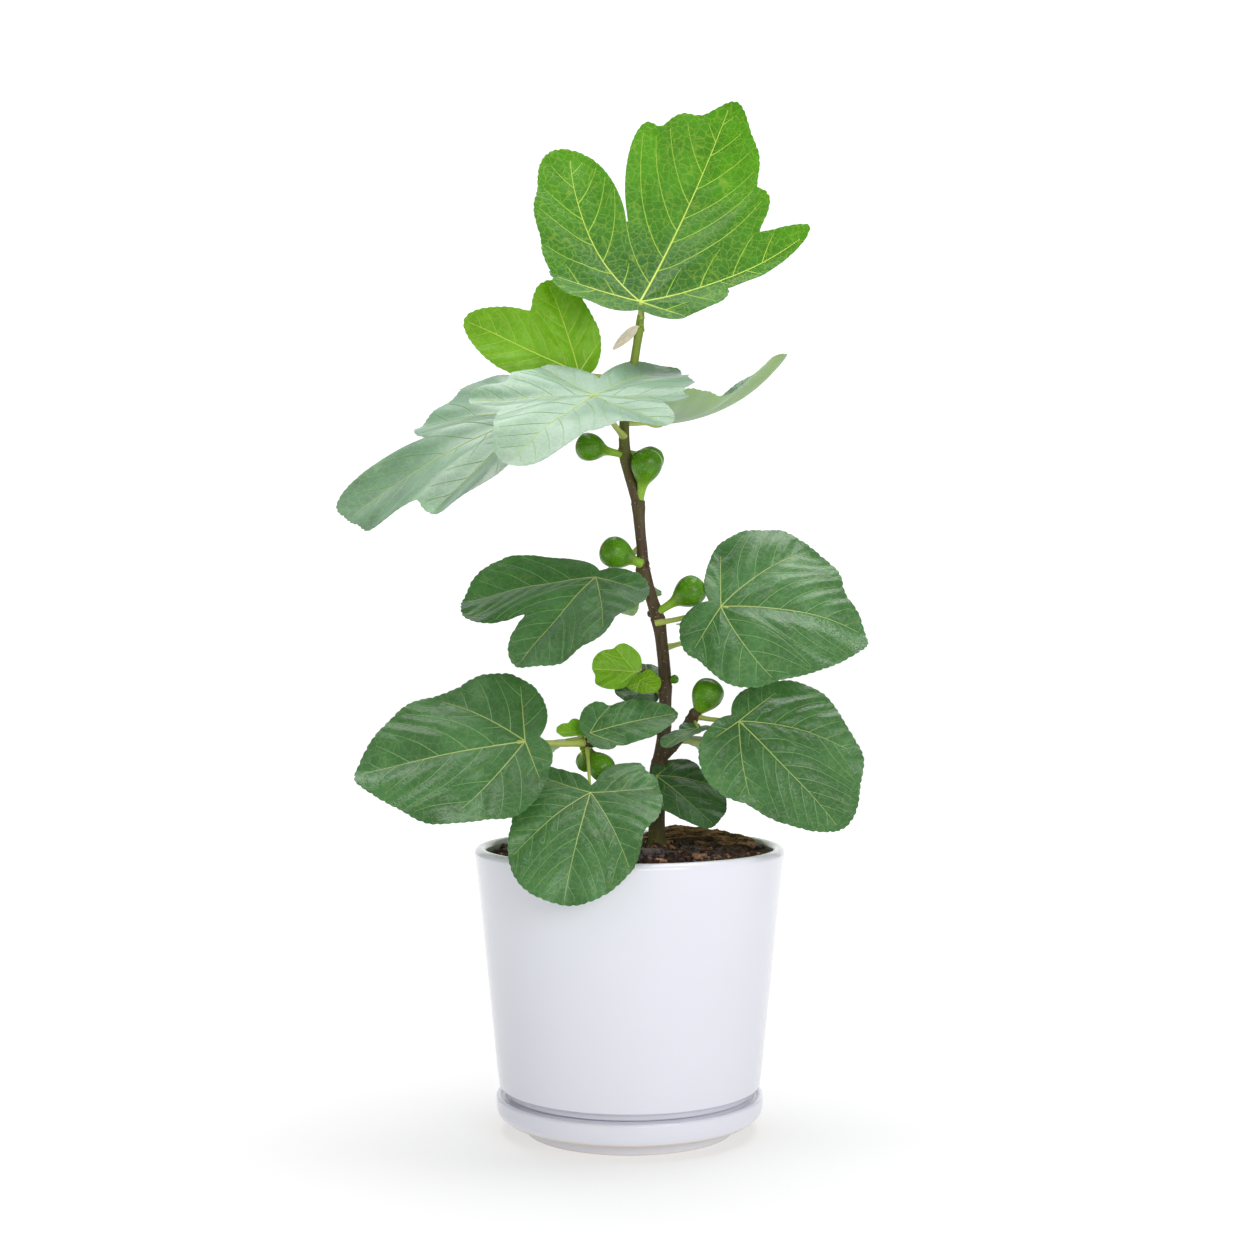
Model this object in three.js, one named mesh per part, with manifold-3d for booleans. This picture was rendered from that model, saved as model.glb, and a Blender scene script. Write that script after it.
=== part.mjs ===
// A young common fig in a glazed round pot that stands in its own saucer.
// Millimetres, +Z up. The origin is the middle of the saucer's flat underside. The front is -Y.
// The plant is one leaning stem with three short side shoots. Each leaf is one solid, petiole and
// blade together, and so is each green fig with its stalk.
import * as THREE from "three";
import { mergeVertices } from "three/addons/utils/BufferGeometryUtils.js";
import Module from "manifold-3d";

const wasm = await Module();
wasm.setup();

// Driving dimensions
const RIM_RADIUS = 110; // outside of the pot at its rim
const RIM_HEIGHT = 200; // top of the rim over the floor
const POT_WALL = 8.7;
const POT_FOOT_RADIUS = 92; // outside of the pot at its lower edge
const POT_UNDERSIDE = 27; // height of the pot's lower edge
const POT_EDGE_ROUND = 6; // of its lower edge
const POT_STAND_RADIUS = 72; // the narrower foot that stands in the saucer
const POT_FLOOR = 40; // top of the pot's own floor
const SAUCER_RADIUS = 94.5;
const SAUCER_RIM_HEIGHT = 26;
const SAUCER_WALL = 4;
const SAUCER_FLOOR = 12; // top of the saucer's floor, which the pot stands on
const SAUCER_FLOOR_RADIUS = 85.5;
const SAUCER_FOOT_RADIUS = 74;
const SAUCER_FOOT_HEIGHT = 8.5;
const SAUCER_ROUND = 12; // of its lower edge
const SOIL_LEVEL = 197.7; // under the stem's flat cut
const SOIL_EDGE_LEVEL = 194;
const SOIL_FLAT_RADIUS = 40; // the soil falls towards the wall outside this
const CLEARANCE = 0.3; // between any two solids that touch on the real plant
const STEM_FOOT = SOIL_LEVEL + CLEARANCE;
const BLADE_THICKNESS_SHARE = 0.0115; // of the blade's length
const THINNEST_BLADE = 0.7;

// How finely the round shapes are cut
const POT_SIDES = 40;
const SOIL_SIDES = 36;
const FIG_SIDES = 10;
const STEM_SIDES = 9;
const STEM_STEPS = 34;
const SHOOT_SIDES = 8;
const SHOOT_STEPS = 7;
const PETIOLE_SIDES = 5;
const PETIOLE_STEPS = 6;
const OUTLINE_STEPS = { lobed: 36, plain: 24, small: 14 };
const SMALL_BLADE = 60; // length below which a blade counts as small
const MANY_LOBES = 5; // a blade with more of them counts as lobed

const FINISHES = {
  glaze: { color: 0xf1f1f5, roughness: 0.12 },
  soil: { color: 0x3a2a20, roughness: 0.95 },
  bark: { color: 0x5a4436, roughness: 0.85 },
  stem: { color: 0x5d4a3c, roughness: 0.75 },
  leaf: { color: 0x5a8559, roughness: 0.5 },
  youngLeaf: { color: 0x63a01c, roughness: 0.45 },
  fig: { color: 0x4f8a2a, roughness: 0.4 },
  stipule: { color: 0xd9d4bf, roughness: 0.8 },
};
const MATERIALS = Object.fromEntries(
  Object.entries(FINISHES).map(([name, finish]) => [
    name,
    new THREE.MeshStandardMaterial({ ...finish, metalness: 0 }),
  ]),
);

const plant = new THREE.Group();
const vec = (point) => new THREE.Vector3(...point);
const radians = (degrees) => (degrees * Math.PI) / 180;
const TURN = 2 * Math.PI;

// Solids from geometry, and geometry from solids

function solidOf(geometry) {
  const bare = geometry.index ? geometry.toNonIndexed() : geometry.clone();
  bare.deleteAttribute("normal");
  bare.deleteAttribute("uv");
  const merged = mergeVertices(bare, 1e-4);
  return new wasm.Manifold(
    new wasm.Mesh({
      numProp: 3,
      vertProperties: new Float32Array(merged.attributes.position.array),
      triVerts: new Uint32Array(merged.index.array),
    }),
  );
}

function geometryOf(solid) {
  const mesh = solid.getMesh();
  const geometry = new THREE.BufferGeometry();
  geometry.setAttribute("position", new THREE.BufferAttribute(mesh.vertProperties, 3));
  geometry.setIndex(new THREE.BufferAttribute(mesh.triVerts, 1));
  geometry.computeVertexNormals();
  return geometry;
}

function place(name, solid, material) {
  const mesh = new THREE.Mesh(geometryOf(solid), MATERIALS[material]);
  mesh.name = name;
  plant.add(mesh);
}

// Moves every vertex of a geometry by a rule that takes and returns a Vector3.
function reshape(geometry, rule) {
  const position = geometry.attributes.position;
  const point = new THREE.Vector3();
  for (let i = 0; i < position.count; i++) {
    const moved = rule(point.fromBufferAttribute(position, i));
    position.setXYZ(i, moved.x, moved.y, moved.z);
  }
  return geometry;
}

// A round body turned about +Z from [radius, height] pairs, from the axis below to the axis above.
function turned(profile, sides) {
  const points = profile.map(([r, z]) => new THREE.Vector2(r, z));
  return solidOf(new THREE.LatheGeometry(points, sides).rotateX(Math.PI / 2));
}

// Part of a circle as [radius, height] pairs, from one angle to another round its centre.
function corner(r, z, radius, fromDegrees, toDegrees, steps) {
  return Array.from({ length: steps + 1 }, (_, i) => {
    const a = radians(fromDegrees + ((toDegrees - fromDegrees) * i) / steps);
    return [r + radius * Math.cos(a), z + radius * Math.sin(a)];
  });
}

// A tapered limb along a curve: a cylinder whose rings are set across the curve. A ring's radius is one
// number, or the pair [level, upright] for a flat limb.
function limb(curve, radiusAt, sides, steps) {
  const rings = Array.from({ length: steps + 1 }, (_, i) => {
    const t = i / steps;
    return { at: curve.getPoint(t), along: curve.getTangent(t), radii: [radiusAt(t)].flat() };
  });
  let across = new THREE.Vector3(1, 0, 0);
  if (Math.abs(rings[0].along.x) > 0.8) across.set(0, 1, 0);
  for (const ring of rings) {
    across = across.clone().addScaledVector(ring.along, -across.dot(ring.along)).normalize();
    ring.across = across;
    ring.over = new THREE.Vector3().crossVectors(ring.along, across);
  }
  const geometry = new THREE.CylinderGeometry(1, 1, steps, sides, steps);
  reshape(geometry, (p) => {
    const ring = rings[Math.round(p.y + steps / 2)];
    return ring.at
      .clone()
      .addScaledVector(ring.across, p.z * ring.radii[0])
      .addScaledVector(ring.over, p.x * ring.radii.at(-1));
  });
  return solidOf(geometry);
}

// The value at a place along [place, value] pairs, straight between them.
function profileAt(pairs, place) {
  const next = pairs.findIndex(([at]) => at >= place);
  if (next === 0) return pairs[0][1];
  if (next < 0) return pairs[pairs.length - 1][1];
  const [a, va] = pairs[next - 1];
  const [b, vb] = pairs[next];
  return va + ((vb - va) * (place - a)) / (b - a);
}

// The main stem: it turns a little at each node, and is a little thicker there.
// Each row is [x, y, z, radius].
const STEM = [
  [19, 0, STEM_FOOT, 7],
  [19.2, 0, 204, 6.2],
  [19.3, 0, 225, 5.8],
  [19.6, -1, 250, 5.7],
  [23, -1, 268, 5.2],
  [24.6, -1, 285, 4.6],
  [25.3, 0, 315, 4.4],
  [22.6, 1, 345, 4.4],
  [20, 1, 361, 4.8],
  [15.3, 0, 376, 4.3],
  [11.3, 0, 390, 4.4],
  [9.4, 0, 396, 4.8],
  [8.8, 0, 410, 3.9],
  [7, -1, 428, 4],
  [5.9, -1, 443, 4.5],
  [2.4, -1, 454, 4],
  [-2.8, 0, 475, 4.1],
  [-3.9, 0, 496, 3.6],
  [-1, 0, 520, 3.3],
  [4, 0, 548, 3],
  [7.6, -1, 573, 2.7],
  [8.2, -1, 579, 1.6],
];
const stemCurve = new THREE.CatmullRomCurve3(
  STEM.map((row) => vec(row.slice(0, 3))),
  false,
  "catmullrom",
);
const stemRadii = STEM.map((row, i) => [i / (STEM.length - 1), row[3]]);

// The stem, or with extra the room round it that other solids keep clear of.
function stemSolid(extra) {
  const whole = limb(stemCurve, (t) => profileAt(stemRadii, t) + extra, STEM_SIDES, STEM_STEPS);
  // The foot is cut flat at the soil, so that it stands on a level face.
  return extra ? whole : whole.trimByPlane([0, 0, 1], STEM_FOOT);
}

// Side shoots: each leaves the stem and ends in a stubby bud that carries leaves and figs.
// foot and tip are points, sag lowers the middle, radii are those at the foot, middle and tip.
const SHOOTS = {
  shoot_left: { foot: [23, -1, 282], tip: [-31, -50, 275], sag: -5, radii: [3.6, 2.9, 3.9] },
  shoot_right: { foot: [22, -1, 262], tip: [48, -16, 297], sag: 3, radii: [4.6, 3.8, 4.4] },
  shoot_small: { foot: [25, 0, 312], tip: [8, -10, 325], sag: 1, radii: [1.9, 1.5, 1.7] },
};

function shootCurve({ foot, tip, sag }) {
  const middle = vec(foot).lerp(vec(tip), 0.5);
  middle.z -= sag;
  return new THREE.CatmullRomCurve3([vec(foot), middle, vec(tip)]);
}

function shootSolid(shoot, extra) {
  const radiusAt = (t) => profileAt(shoot.radii.map((r, i) => [i / 2, r]), t) + extra;
  return limb(shootCurve(shoot), radiusAt, SHOOT_SIDES, SHOOT_STEPS);
}

// Leaves
// A blade's outline is the reach of its lobes round its foot. A lobe is an ellipse on a line from the
// foot, given as [angle from the midrib in degrees, reach, half width, start], the last three as
// shares of the blade's length. Without a start the ellipse begins at the foot.
const LOBE_START = -0.03;
const NOTCH_REACH = 0.04; // of the blade behind its foot
const LOBE_BLEND = 18; // higher gives sharper notches between the lobes

function lobeReach([angle, reach, halfWidth, start = LOBE_START], direction) {
  const turn = direction - radians(angle);
  const half = (reach - start) / 2;
  const centre = (reach + start) / 2;
  const a = (Math.cos(turn) / half) ** 2 + (Math.sin(turn) / halfWidth) ** 2;
  const b = (centre * Math.cos(turn)) / half ** 2;
  const c = (centre / half) ** 2 - 1;
  const square = b * b - a * c;
  return square < 0 ? 0 : Math.max(0, (b + Math.sqrt(square)) / a);
}

function bladeReach(lobes, direction) {
  const sum = lobes.reduce((total, lobe) => total + lobeReach(lobe, direction) ** LOBE_BLEND, 0);
  return Math.max(NOTCH_REACH, sum ** (1 / LOBE_BLEND));
}

// Directions round the foot, set out evenly along the outline so that long lobes get their share.
function outlineDirections(lobes, count) {
  const fine = 720; // steps that the outline is measured in
  const directions = Array.from({ length: fine + 1 }, (_, i) => -Math.PI + (TURN * i) / fine);
  const points = directions.map((d) => {
    const reach = bladeReach(lobes, d);
    return [reach * Math.sin(d), reach * Math.cos(d)];
  });
  const run = [0];
  for (let i = 1; i <= fine; i++)
    run.push(run[i - 1] + Math.hypot(points[i][0] - points[i - 1][0], points[i][1] - points[i - 1][1]));
  return Array.from({ length: count }, (_, i) => {
    const wanted = (run[fine] * i) / count;
    const next = Math.max(1, run.findIndex((r) => r >= wanted));
    const share = (wanted - run[next - 1]) / (run[next] - run[next - 1]);
    return directions[next - 1] + share * (directions[next] - directions[next - 1]);
  });
}

// Where a leaf's blade lies: foot, tip and the way its upper side faces give its frame.
// bend is how far the midrib turns down from foot to tip, curl how far the sides turn up at half a
// length out from the midrib, both in degrees.
function bladeFrame({ foot, tip, faces, bend }) {
  const chord = vec(tip).sub(vec(foot));
  const reach = chord.length();
  const along = chord.clone().normalize();
  const normal = vec(faces).addScaledVector(along, -vec(faces).dot(along)).normalize();
  const across = new THREE.Vector3().crossVectors(along, normal);
  const half = radians(bend) / 2;
  const length = (reach * half) / Math.sin(half);
  return {
    foot: vec(foot),
    length,
    across,
    along: along.clone().multiplyScalar(Math.cos(half)).addScaledVector(normal, Math.sin(half)),
    normal: normal.clone().multiplyScalar(Math.cos(half)).addScaledVector(along, -Math.sin(half)),
  };
}

// The point of a blade that lies u across and v along when flat, h over its middle surface.
function onBlade(frame, leaf, u, v, h) {
  const turnU = radians(leaf.curl) / (frame.length / 2);
  const turnV = radians(leaf.bend) / frame.length;
  const side = Math.sin(turnU * u) / turnU;
  const rise = (1 - Math.cos(turnU * u)) / turnU;
  const over = rise + h + bladeWave(frame, u, v);
  const ahead = Math.sin(turnV * v) / turnV;
  const drop = (1 - Math.cos(turnV * v)) / turnV;
  return frame.foot
    .clone()
    .addScaledVector(frame.across, side)
    .addScaledVector(frame.along, ahead + over * Math.sin(turnV * v))
    .addScaledVector(frame.normal, over * Math.cos(turnV * v) - drop);
}

// The slow waves of a blade's margin, none at the foot.
const WAVES = 5;
const WAVE_HEIGHT = 0.03; // share of the blade's length, at that length from the foot
function bladeWave(frame, u, v) {
  const out = Math.hypot(u, v) / frame.length;
  return WAVE_HEIGHT * frame.length * out * out * Math.sin(WAVES * Math.atan2(u, v));
}

// A blade is a disc, turned about its foot, whose rings are drawn out to the outline and then bent.
function bladeSolid(frame, leaf) {
  const lobes = leaf.lobes ?? BLADES[leaf.blade];
  const size = frame.length < SMALL_BLADE ? "small" : lobes.length > MANY_LOBES ? "lobed" : "plain";
  const count = OUTLINE_STEPS[size];
  const directions = outlineDirections(lobes, count);
  const thickness = Math.max(THINNEST_BLADE, BLADE_THICKNESS_SHARE * frame.length);
  const upperSide = [[0, 0.5], [0.5, 0.5], [1, 0.5]];
  const lowerSide = upperSide.map(([share]) => [share, -0.5]).reverse();
  const profile = [...upperSide, ...lowerSide].map((pair) => new THREE.Vector2(...pair));
  const geometry = new THREE.LatheGeometry(profile, count);
  reshape(geometry, (p) => {
    const share = Math.hypot(p.x, p.z);
    const turn = (Math.atan2(p.x, p.z) + TURN) % TURN;
    const direction = directions[Math.round((turn * count) / TURN) % count];
    const reach = share * frame.length * bladeReach(lobes, direction);
    return onBlade(frame, leaf, reach * Math.sin(direction), reach * Math.cos(direction), p.y * thickness);
  });
  return solidOf(geometry);
}

// The petiole leaves its limb and runs on a little way in the blade, as the root of the midrib.
const MIDRIB_ROOT = 0.12; // of the blade's length
const PETIOLE_PROFILE = [[0, 1.35], [0.15, 1], [0.8, 0.85], [1, 0.3]]; // [place, share of its radius]

function petioleSolid(frame, leaf) {
  const start = vec(leaf.from);
  const curve = new THREE.CatmullRomCurve3([
    start,
    start.clone().lerp(frame.foot, 0.5),
    start.clone().lerp(frame.foot, 0.97),
    onBlade(frame, leaf, 0, MIDRIB_ROOT * frame.length, 0),
  ]);
  const radiusAt = (t) => leaf.petiole * profileAt(PETIOLE_PROFILE, t);
  return limb(curve, radiusAt, PETIOLE_SIDES, PETIOLE_STEPS);
}

function leafSolid(leaf) {
  const frame = bladeFrame(leaf);
  return petioleSolid(frame, leaf).add(bladeSolid(frame, leaf));
}

// Lobes that several leaves share.
const BLADES = {
  heart: [[0, 1, 0.38], [60, 0.56, 0.27], [-60, 0.52, 0.26], [106, 0.33, 0.14], [-106, 0.27, 0.12]],
  round: [[0, 1, 0.44], [45, 0.8, 0.34], [-45, 0.8, 0.34], [98, 0.45, 0.2], [-98, 0.45, 0.2]],
  fivefold: [
    [0, 1, 0.2, 0.2], [44, 0.84, 0.17, 0.1], [-44, 0.84, 0.17, 0.1], [86, 0.56, 0.18], [-86, 0.56, 0.18],
    [125, 0.34, 0.14], [-125, 0.34, 0.14],
  ],
  slim: [[0, 1, 0.12]],
};

// Every leaf, in millimetres. from is where its petiole starts inside the limb that carries it, foot is
// where the petiole meets the blade, tip is the midrib's end, faces is the way the upper side looks.
const LEAVES = {
  leaf_top: {
    from: [8, -1, 574], foot: [7.6, -5, 587], tip: [74, 45, 740], faces: [0.05, -0.85, 0.5],
    bend: -38, curl: 14, petiole: 2, finish: "youngLeaf",
    lobes: [
      [0, 1, 0.17, 0.25], [-19, 0.85, 0.11, 0.3], [11, 0.88, 0.11, 0.3], [22, 0.74, 0.1, 0.3],
      [-45, 0.76, 0.11, 0.2], [-60, 0.61, 0.16, 0.05], [43, 0.76, 0.09, 0.25], [56, 0.4, 0.1],
      [-94, 0.38, 0.095], [-124, 0.18, 0.065], [88, 0.18, 0.065],
    ],
  },
  leaf_upper_left: {
    from: [1, 1, 532], foot: [-36, 2, 536.3], tip: [-118.3, 8, 575], faces: [0.1, -0.95, 0.25],
    bend: 10, curl: 8, petiole: 1.6, finish: "youngLeaf",
    lobes: [[0, 1, 0.26, 0.05], [44, 0.78, 0.22, 0], [70, 0.45, 0.16], [-45, 0.42, 0.16], [104, 0.22, 0.09]],
  },
  leaf_middle_front: {
    from: [-4, -1, 490], foot: [-24.2, -55, 514.6], tip: [-80, -130, 461], faces: [0, -0.57, 0.82],
    bend: 12, curl: 6, petiole: 2.1,
    lobes: [
      [0, 1, 0.25, 0.1], [16, 0.74, 0.2, 0.1], [46, 0.8, 0.18, 0.1], [72, 0.56, 0.18], [106, 0.5, 0.18],
      [-74, 0.68, 0.2], [-32, 0.55, 0.2], [-118, 0.58, 0.16], [-174, 0.86, 0.16, 0.1],
    ],
  },
  leaf_middle_right: {
    from: [-3, 0, 500], foot: [18.4, 25, 504], tip: [113.2, 35, 554.6], faces: [-0.4, -0.1, 0.9],
    bend: -56, curl: 30, petiole: 1.9, blade: "heart",
  },
  leaf_middle_left: {
    from: [-3, 0, 508], foot: [-67, 0, 508.4], tip: [-205.5, -15, 437], faces: [-0.35, -0.55, 0.76],
    bend: 22, curl: -8, petiole: 2,
    lobes: [
      [0, 1, 0.14, 0.3], [-16, 0.97, 0.12, 0.4], [-34, 0.78, 0.2, 0.1], [44, 0.6, 0.2], [72, 0.6, 0.18],
      [-75, 0.35, 0.2], [108, 0.3, 0.14],
    ],
  },
  leaf_lower_left: {
    from: [9, 0, 393], foot: [-23.9, -25, 391], tip: [-76.7, -80, 331.6], faces: [-0.2, -0.6, 0.75],
    bend: 16, curl: 5, petiole: 1.4,
    lobes: [
      [0, 1, 0.26, 0.1], [48, 0.97, 0.17, 0.2], [62, 0.84, 0.14, 0.1], [86, 0.44, 0.12],
      [-36, 0.74, 0.24], [-86, 0.46, 0.18],
    ],
  },
  leaf_lower_right: {
    from: [19, -2, 358], foot: [63.3, -25, 370], tip: [166, -30, 342.5], faces: [0.1, -0.85, 0.5],
    bend: 30, curl: -12, petiole: 1.9,
    lobes: [
      [0, 1, 0.42], [-30, 0.84, 0.35], [-70, 0.7, 0.26],
      [62, 0.58, 0.28], [108, 0.36, 0.14], [-96, 0.46, 0.11],
    ],
  },
  leaf_shoot_right: {
    from: [47, -15, 292], foot: [75.7, -35, 290.7], tip: [142.6, -60, 218], faces: [0.25, -0.85, 0.45],
    bend: 16, curl: -8, petiole: 1.7,
    lobes: [
      [0, 1, 0.4], [-24, 0.93, 0.33], [-60, 0.63, 0.3],
      [60, 0.48, 0.26], [-104, 0.4, 0.14], [98, 0.24, 0.1],
    ],
  },
  leaf_shoot_edge: {
    from: [45, -15, 290], foot: [48, -24, 285.2], tip: [22.8, -45, 272.6], faces: [0, -0.15, 1],
    bend: 10, curl: 8, petiole: 1.1,
    lobes: [[0, 1, 0.3], [60, 0.4, 0.2], [-60, 0.4, 0.2]],
  },
  leaf_stem_foot: {
    from: [21, -2, 254], foot: [18.8, -13, 250.9], tip: [59, -35, 217.4], faces: [0.2, -0.8, 0.55],
    bend: 16, curl: -8, petiole: 1.3,
    lobes: [[0, 1, 0.3], [-28, 0.9, 0.26], [-62, 0.56, 0.2], [30, 0.6, 0.2], [-105, 0.28, 0.1]],
  },
  leaf_shoot_left: {
    from: [-32, -49, 276], foot: [-70, -80, 279.8], tip: [-184.8, -90, 257.6], faces: [-0.12, -0.8, 0.6],
    bend: 10, curl: -8, petiole: 2.3,
    lobes: [[0, 1, 0.38], [56, 0.55, 0.24], [-58, 0.5, 0.25], [100, 0.3, 0.12], [-104, 0.24, 0.1]],
  },
  leaf_bud: {
    from: [-32, -47, 278], foot: [-33, -48, 284.5], tip: [-50, -56, 283.5], faces: [0.2, -0.6, 0.8],
    bend: -20, curl: 30, petiole: 0.8, blade: "heart", finish: "youngLeaf",
  },
  leaf_over_rim: {
    from: [-29, -51, 272], foot: [-26.2, -88, 246], tip: [-43, -130, 177.6], faces: [-0.1, -0.95, 0.3],
    bend: 35, curl: -6, petiole: 1.6,
    lobes: [
      [0, 1, 0.4], [28, 0.96, 0.32], [-22, 0.91, 0.34], [62, 0.62, 0.26], [-75, 0.57, 0.28],
      [126, 0.5, 0.11], [-138, 0.54, 0.16],
    ],
  },
  leaf_small_left: {
    from: [8, -10, 325], foot: [4, -13, 323.4], tip: [-26.4, -20, 329.1], faces: [0, -0.9, 0.4],
    bend: 12, curl: 10, petiole: 0.8, finish: "youngLeaf",
    lobes: [[0, 1, 0.42], [-28, 1, 0.28], [48, 0.72, 0.28], [80, 0.48, 0.16]],
  },
  leaf_small_right: {
    from: [10.2, -8.7, 323.4], foot: [7, -25, 318], tip: [19, -38, 311], faces: [0.1, -0.9, 0.4],
    bend: 10, curl: 10, petiole: 0.8, finish: "youngLeaf",
    lobes: [[0, 1, 0.5], [62, 0.62, 0.34], [-62, 0.62, 0.34], [136, 0.34, 0.18], [-136, 0.34, 0.18]],
  },
  leaf_small_back: {
    from: [25, 1, 306], foot: [17, 12, 310], tip: [-12.7, 24, 326], faces: [0, -0.6, 0.8],
    bend: 12, curl: -8, petiole: 1, blade: "round",
  },
  leaf_inner: {
    from: [-28, -51, 277], foot: [-27.1, -56, 283.4], tip: [33.6, -28, 295.8], faces: [0.1, -0.8, 0.6],
    bend: 14, curl: -8, petiole: 1,
    lobes: [[0, 1, 0.26], [-50, 0.44, 0.22], [50, 0.32, 0.14], [-100, 0.2, 0.09]],
  },
  leaf_rear_top: {
    from: [8, 1, 566], foot: [10, 28, 602], tip: [22, 140, 655], faces: [0.05, -0.3, 0.95],
    bend: 18, curl: 10, petiole: 1.8, blade: "fivefold", finish: "youngLeaf",
  },
  leaf_rear_upper: {
    from: [-2, 2, 515], foot: [-50, 56, 521], tip: [-78, 158, 548], faces: [0, -0.1, 1],
    bend: 24, curl: -8, petiole: 2, blade: "fivefold",
  },
  leaf_rear_middle: {
    from: [8, 1, 412], foot: [-28, 60, 392], tip: [-76, 150, 362], faces: [0, 0.3, 0.95],
    bend: 24, curl: -8, petiole: 1.9, blade: "fivefold",
  },
  leaf_rear_lower: {
    from: [24, 1, 340], foot: [74, 50, 360], tip: [130, 136, 338], faces: [0.15, 0.3, 0.95],
    bend: 22, curl: -8, petiole: 1.9, blade: "heart",
  },
  leaf_rear_left: {
    from: [24, 1, 290], foot: [-60, 58, 272], tip: [-140, 122, 258], faces: [-0.25, 0.3, 0.9],
    bend: 20, curl: -8, petiole: 1.9, blade: "fivefold",
  },
  leaf_rear_right: {
    from: [23, 1, 276], foot: [64, 40, 272], tip: [112, 126, 242], faces: [0.2, 0.35, 0.9],
    bend: 20, curl: -8, petiole: 1.7, blade: "heart",
  },
  dry_scale: {
    from: [8, -2, 569], foot: [5, -6, 567], tip: [-11.8, -7, 550.8], faces: [0.7, -0.6, -0.4],
    bend: -30, curl: 4, petiole: 1, blade: "slim", finish: "stipule",
  },
};

// Green figs, in millimetres: from is the stalk's start inside its limb, centre and radius are the
// fruit's own.
const FIGS = {
  fig_top_left: { from: [-3, 0, 477], centre: [-28.6, -12, 481.7], radius: 9.9 },
  fig_top_right: { from: [7, -2, 445], centre: [11.9, -9, 470], radius: 11.1 },
  fig_top_rear: { from: [-2, 1, 479], centre: [15, 15, 475], radius: 9.6 },
  fig_middle: { from: [8, -3, 400], centre: [-10.3, -14, 407.3], radius: 11.2 },
  fig_right: { from: [19, 0, 365], centre: [43.3, -8, 380.4], radius: 10.9 },
  fig_shoot: { from: [48, -16, 296], centre: [54.8, -18, 308.5], radius: 11 },
  fig_front: { from: [-28, -47, 270], centre: [-19.3, -54, 259.5], radius: 9.2 },
  fig_behind: { from: [-32, -46, 272], centre: [-30.2, -34, 262], radius: 7.2 },
  fig_bud: { from: [25, 0, 315], centre: [31.8, -2, 318], radius: 3.1 },
};
// A fig's outline from its neck to its eye as [place, radius], in radii of the fruit, places being
// counted from its centre. The stalk, as long as it takes to reach the limb, comes before it.
const FIG_STALK = 0.28;
const FIG_EYE = 0.9;
const FIG_PROFILE = [[-0.8, 0.6], [-0.4, 0.92], [0.1, 1], [0.6, 0.8], [0.9, 0.4]];

function figSolid({ from, centre, radius }) {
  const along = vec(centre).sub(vec(from));
  const stalk = along.length() / radius;
  const rings = [[-stalk, 0], [-stalk, FIG_STALK], [-(stalk + 1) / 2, FIG_STALK], ...FIG_PROFILE, [FIG_EYE, 0]];
  const profile = rings.map(([place, reach]) => new THREE.Vector2(reach * radius, place * radius));
  const geometry = new THREE.LatheGeometry(profile, FIG_SIDES);
  const turn = new THREE.Quaternion().setFromUnitVectors(new THREE.Vector3(0, 1, 0), along.normalize());
  geometry.applyQuaternion(turn).translate(...centre);
  return solidOf(geometry);
}

// Pot, saucer, soil and bark

// Radii of the pot's outside, and of the room that its wall leaves inside, at a height.
const potRadius = (z) =>
  POT_FOOT_RADIUS + ((RIM_RADIUS - POT_FOOT_RADIUS) * (z - POT_UNDERSIDE)) / (RIM_HEIGHT - POT_UNDERSIDE);
const potRoom = (z) => potRadius(z) - POT_WALL;

function potSolid() {
  const lip = POT_WALL / 2;
  const edge = POT_EDGE_ROUND;
  const profile = [
    [0, SAUCER_FLOOR + CLEARANCE],
    [POT_STAND_RADIUS, SAUCER_FLOOR + CLEARANCE],
    [POT_STAND_RADIUS, POT_UNDERSIDE],
    ...corner(POT_FOOT_RADIUS - edge, POT_UNDERSIDE + edge, edge, -90, 0, 2),
    ...corner(RIM_RADIUS - lip, RIM_HEIGHT - lip, lip, 0, 180, 4),
    [potRoom(POT_FLOOR), POT_FLOOR],
    [0, POT_FLOOR],
  ];
  return turned(profile, POT_SIDES);
}

function saucerSolid() {
  const lip = SAUCER_WALL / 2;
  const round = SAUCER_ROUND;
  const profile = [
    [0, 0],
    [SAUCER_FOOT_RADIUS, 0],
    [SAUCER_FOOT_RADIUS, SAUCER_FOOT_HEIGHT],
    ...corner(SAUCER_RADIUS - round, SAUCER_FOOT_HEIGHT + round, round, -70, 0, 3),
    ...corner(SAUCER_RADIUS - lip, SAUCER_RIM_HEIGHT - lip, lip, 0, 180, 3),
    [SAUCER_RADIUS - SAUCER_WALL, SAUCER_FLOOR + SAUCER_WALL],
    [SAUCER_FLOOR_RADIUS, SAUCER_FLOOR],
    [0, SAUCER_FLOOR],
  ];
  return turned(profile, POT_SIDES);
}

function soilSolid() {
  const profile = [
    [0, POT_FLOOR + CLEARANCE],
    [potRoom(POT_FLOOR) - CLEARANCE, POT_FLOOR + CLEARANCE],
    [potRoom(SOIL_EDGE_LEVEL) - CLEARANCE, SOIL_EDGE_LEVEL],
    [SOIL_FLAT_RADIUS, SOIL_LEVEL],
    [0, SOIL_LEVEL],
  ];
  return turned(profile, SOIL_SIDES);
}

// Height of the soil's top at a distance from the pot's axis.
const soilLevel = (r) =>
  profileAt([[SOIL_FLAT_RADIUS, SOIL_LEVEL], [potRoom(SOIL_EDGE_LEVEL) - CLEARANCE, SOIL_EDGE_LEVEL]], r);

// Broken bark on the soil: where its middle lies, then length, width and height, and its turn about +Z.
const BARK = {
  bark_front: { at: [11, -64], size: [25, 12, 8], turn: 8 },
  bark_front_small: { at: [28.5, -63], size: [8.5, 9, 6.5], turn: -20 },
  bark_chip: { at: [47, -60], size: [11, 8, 5], turn: 15 },
};

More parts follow.
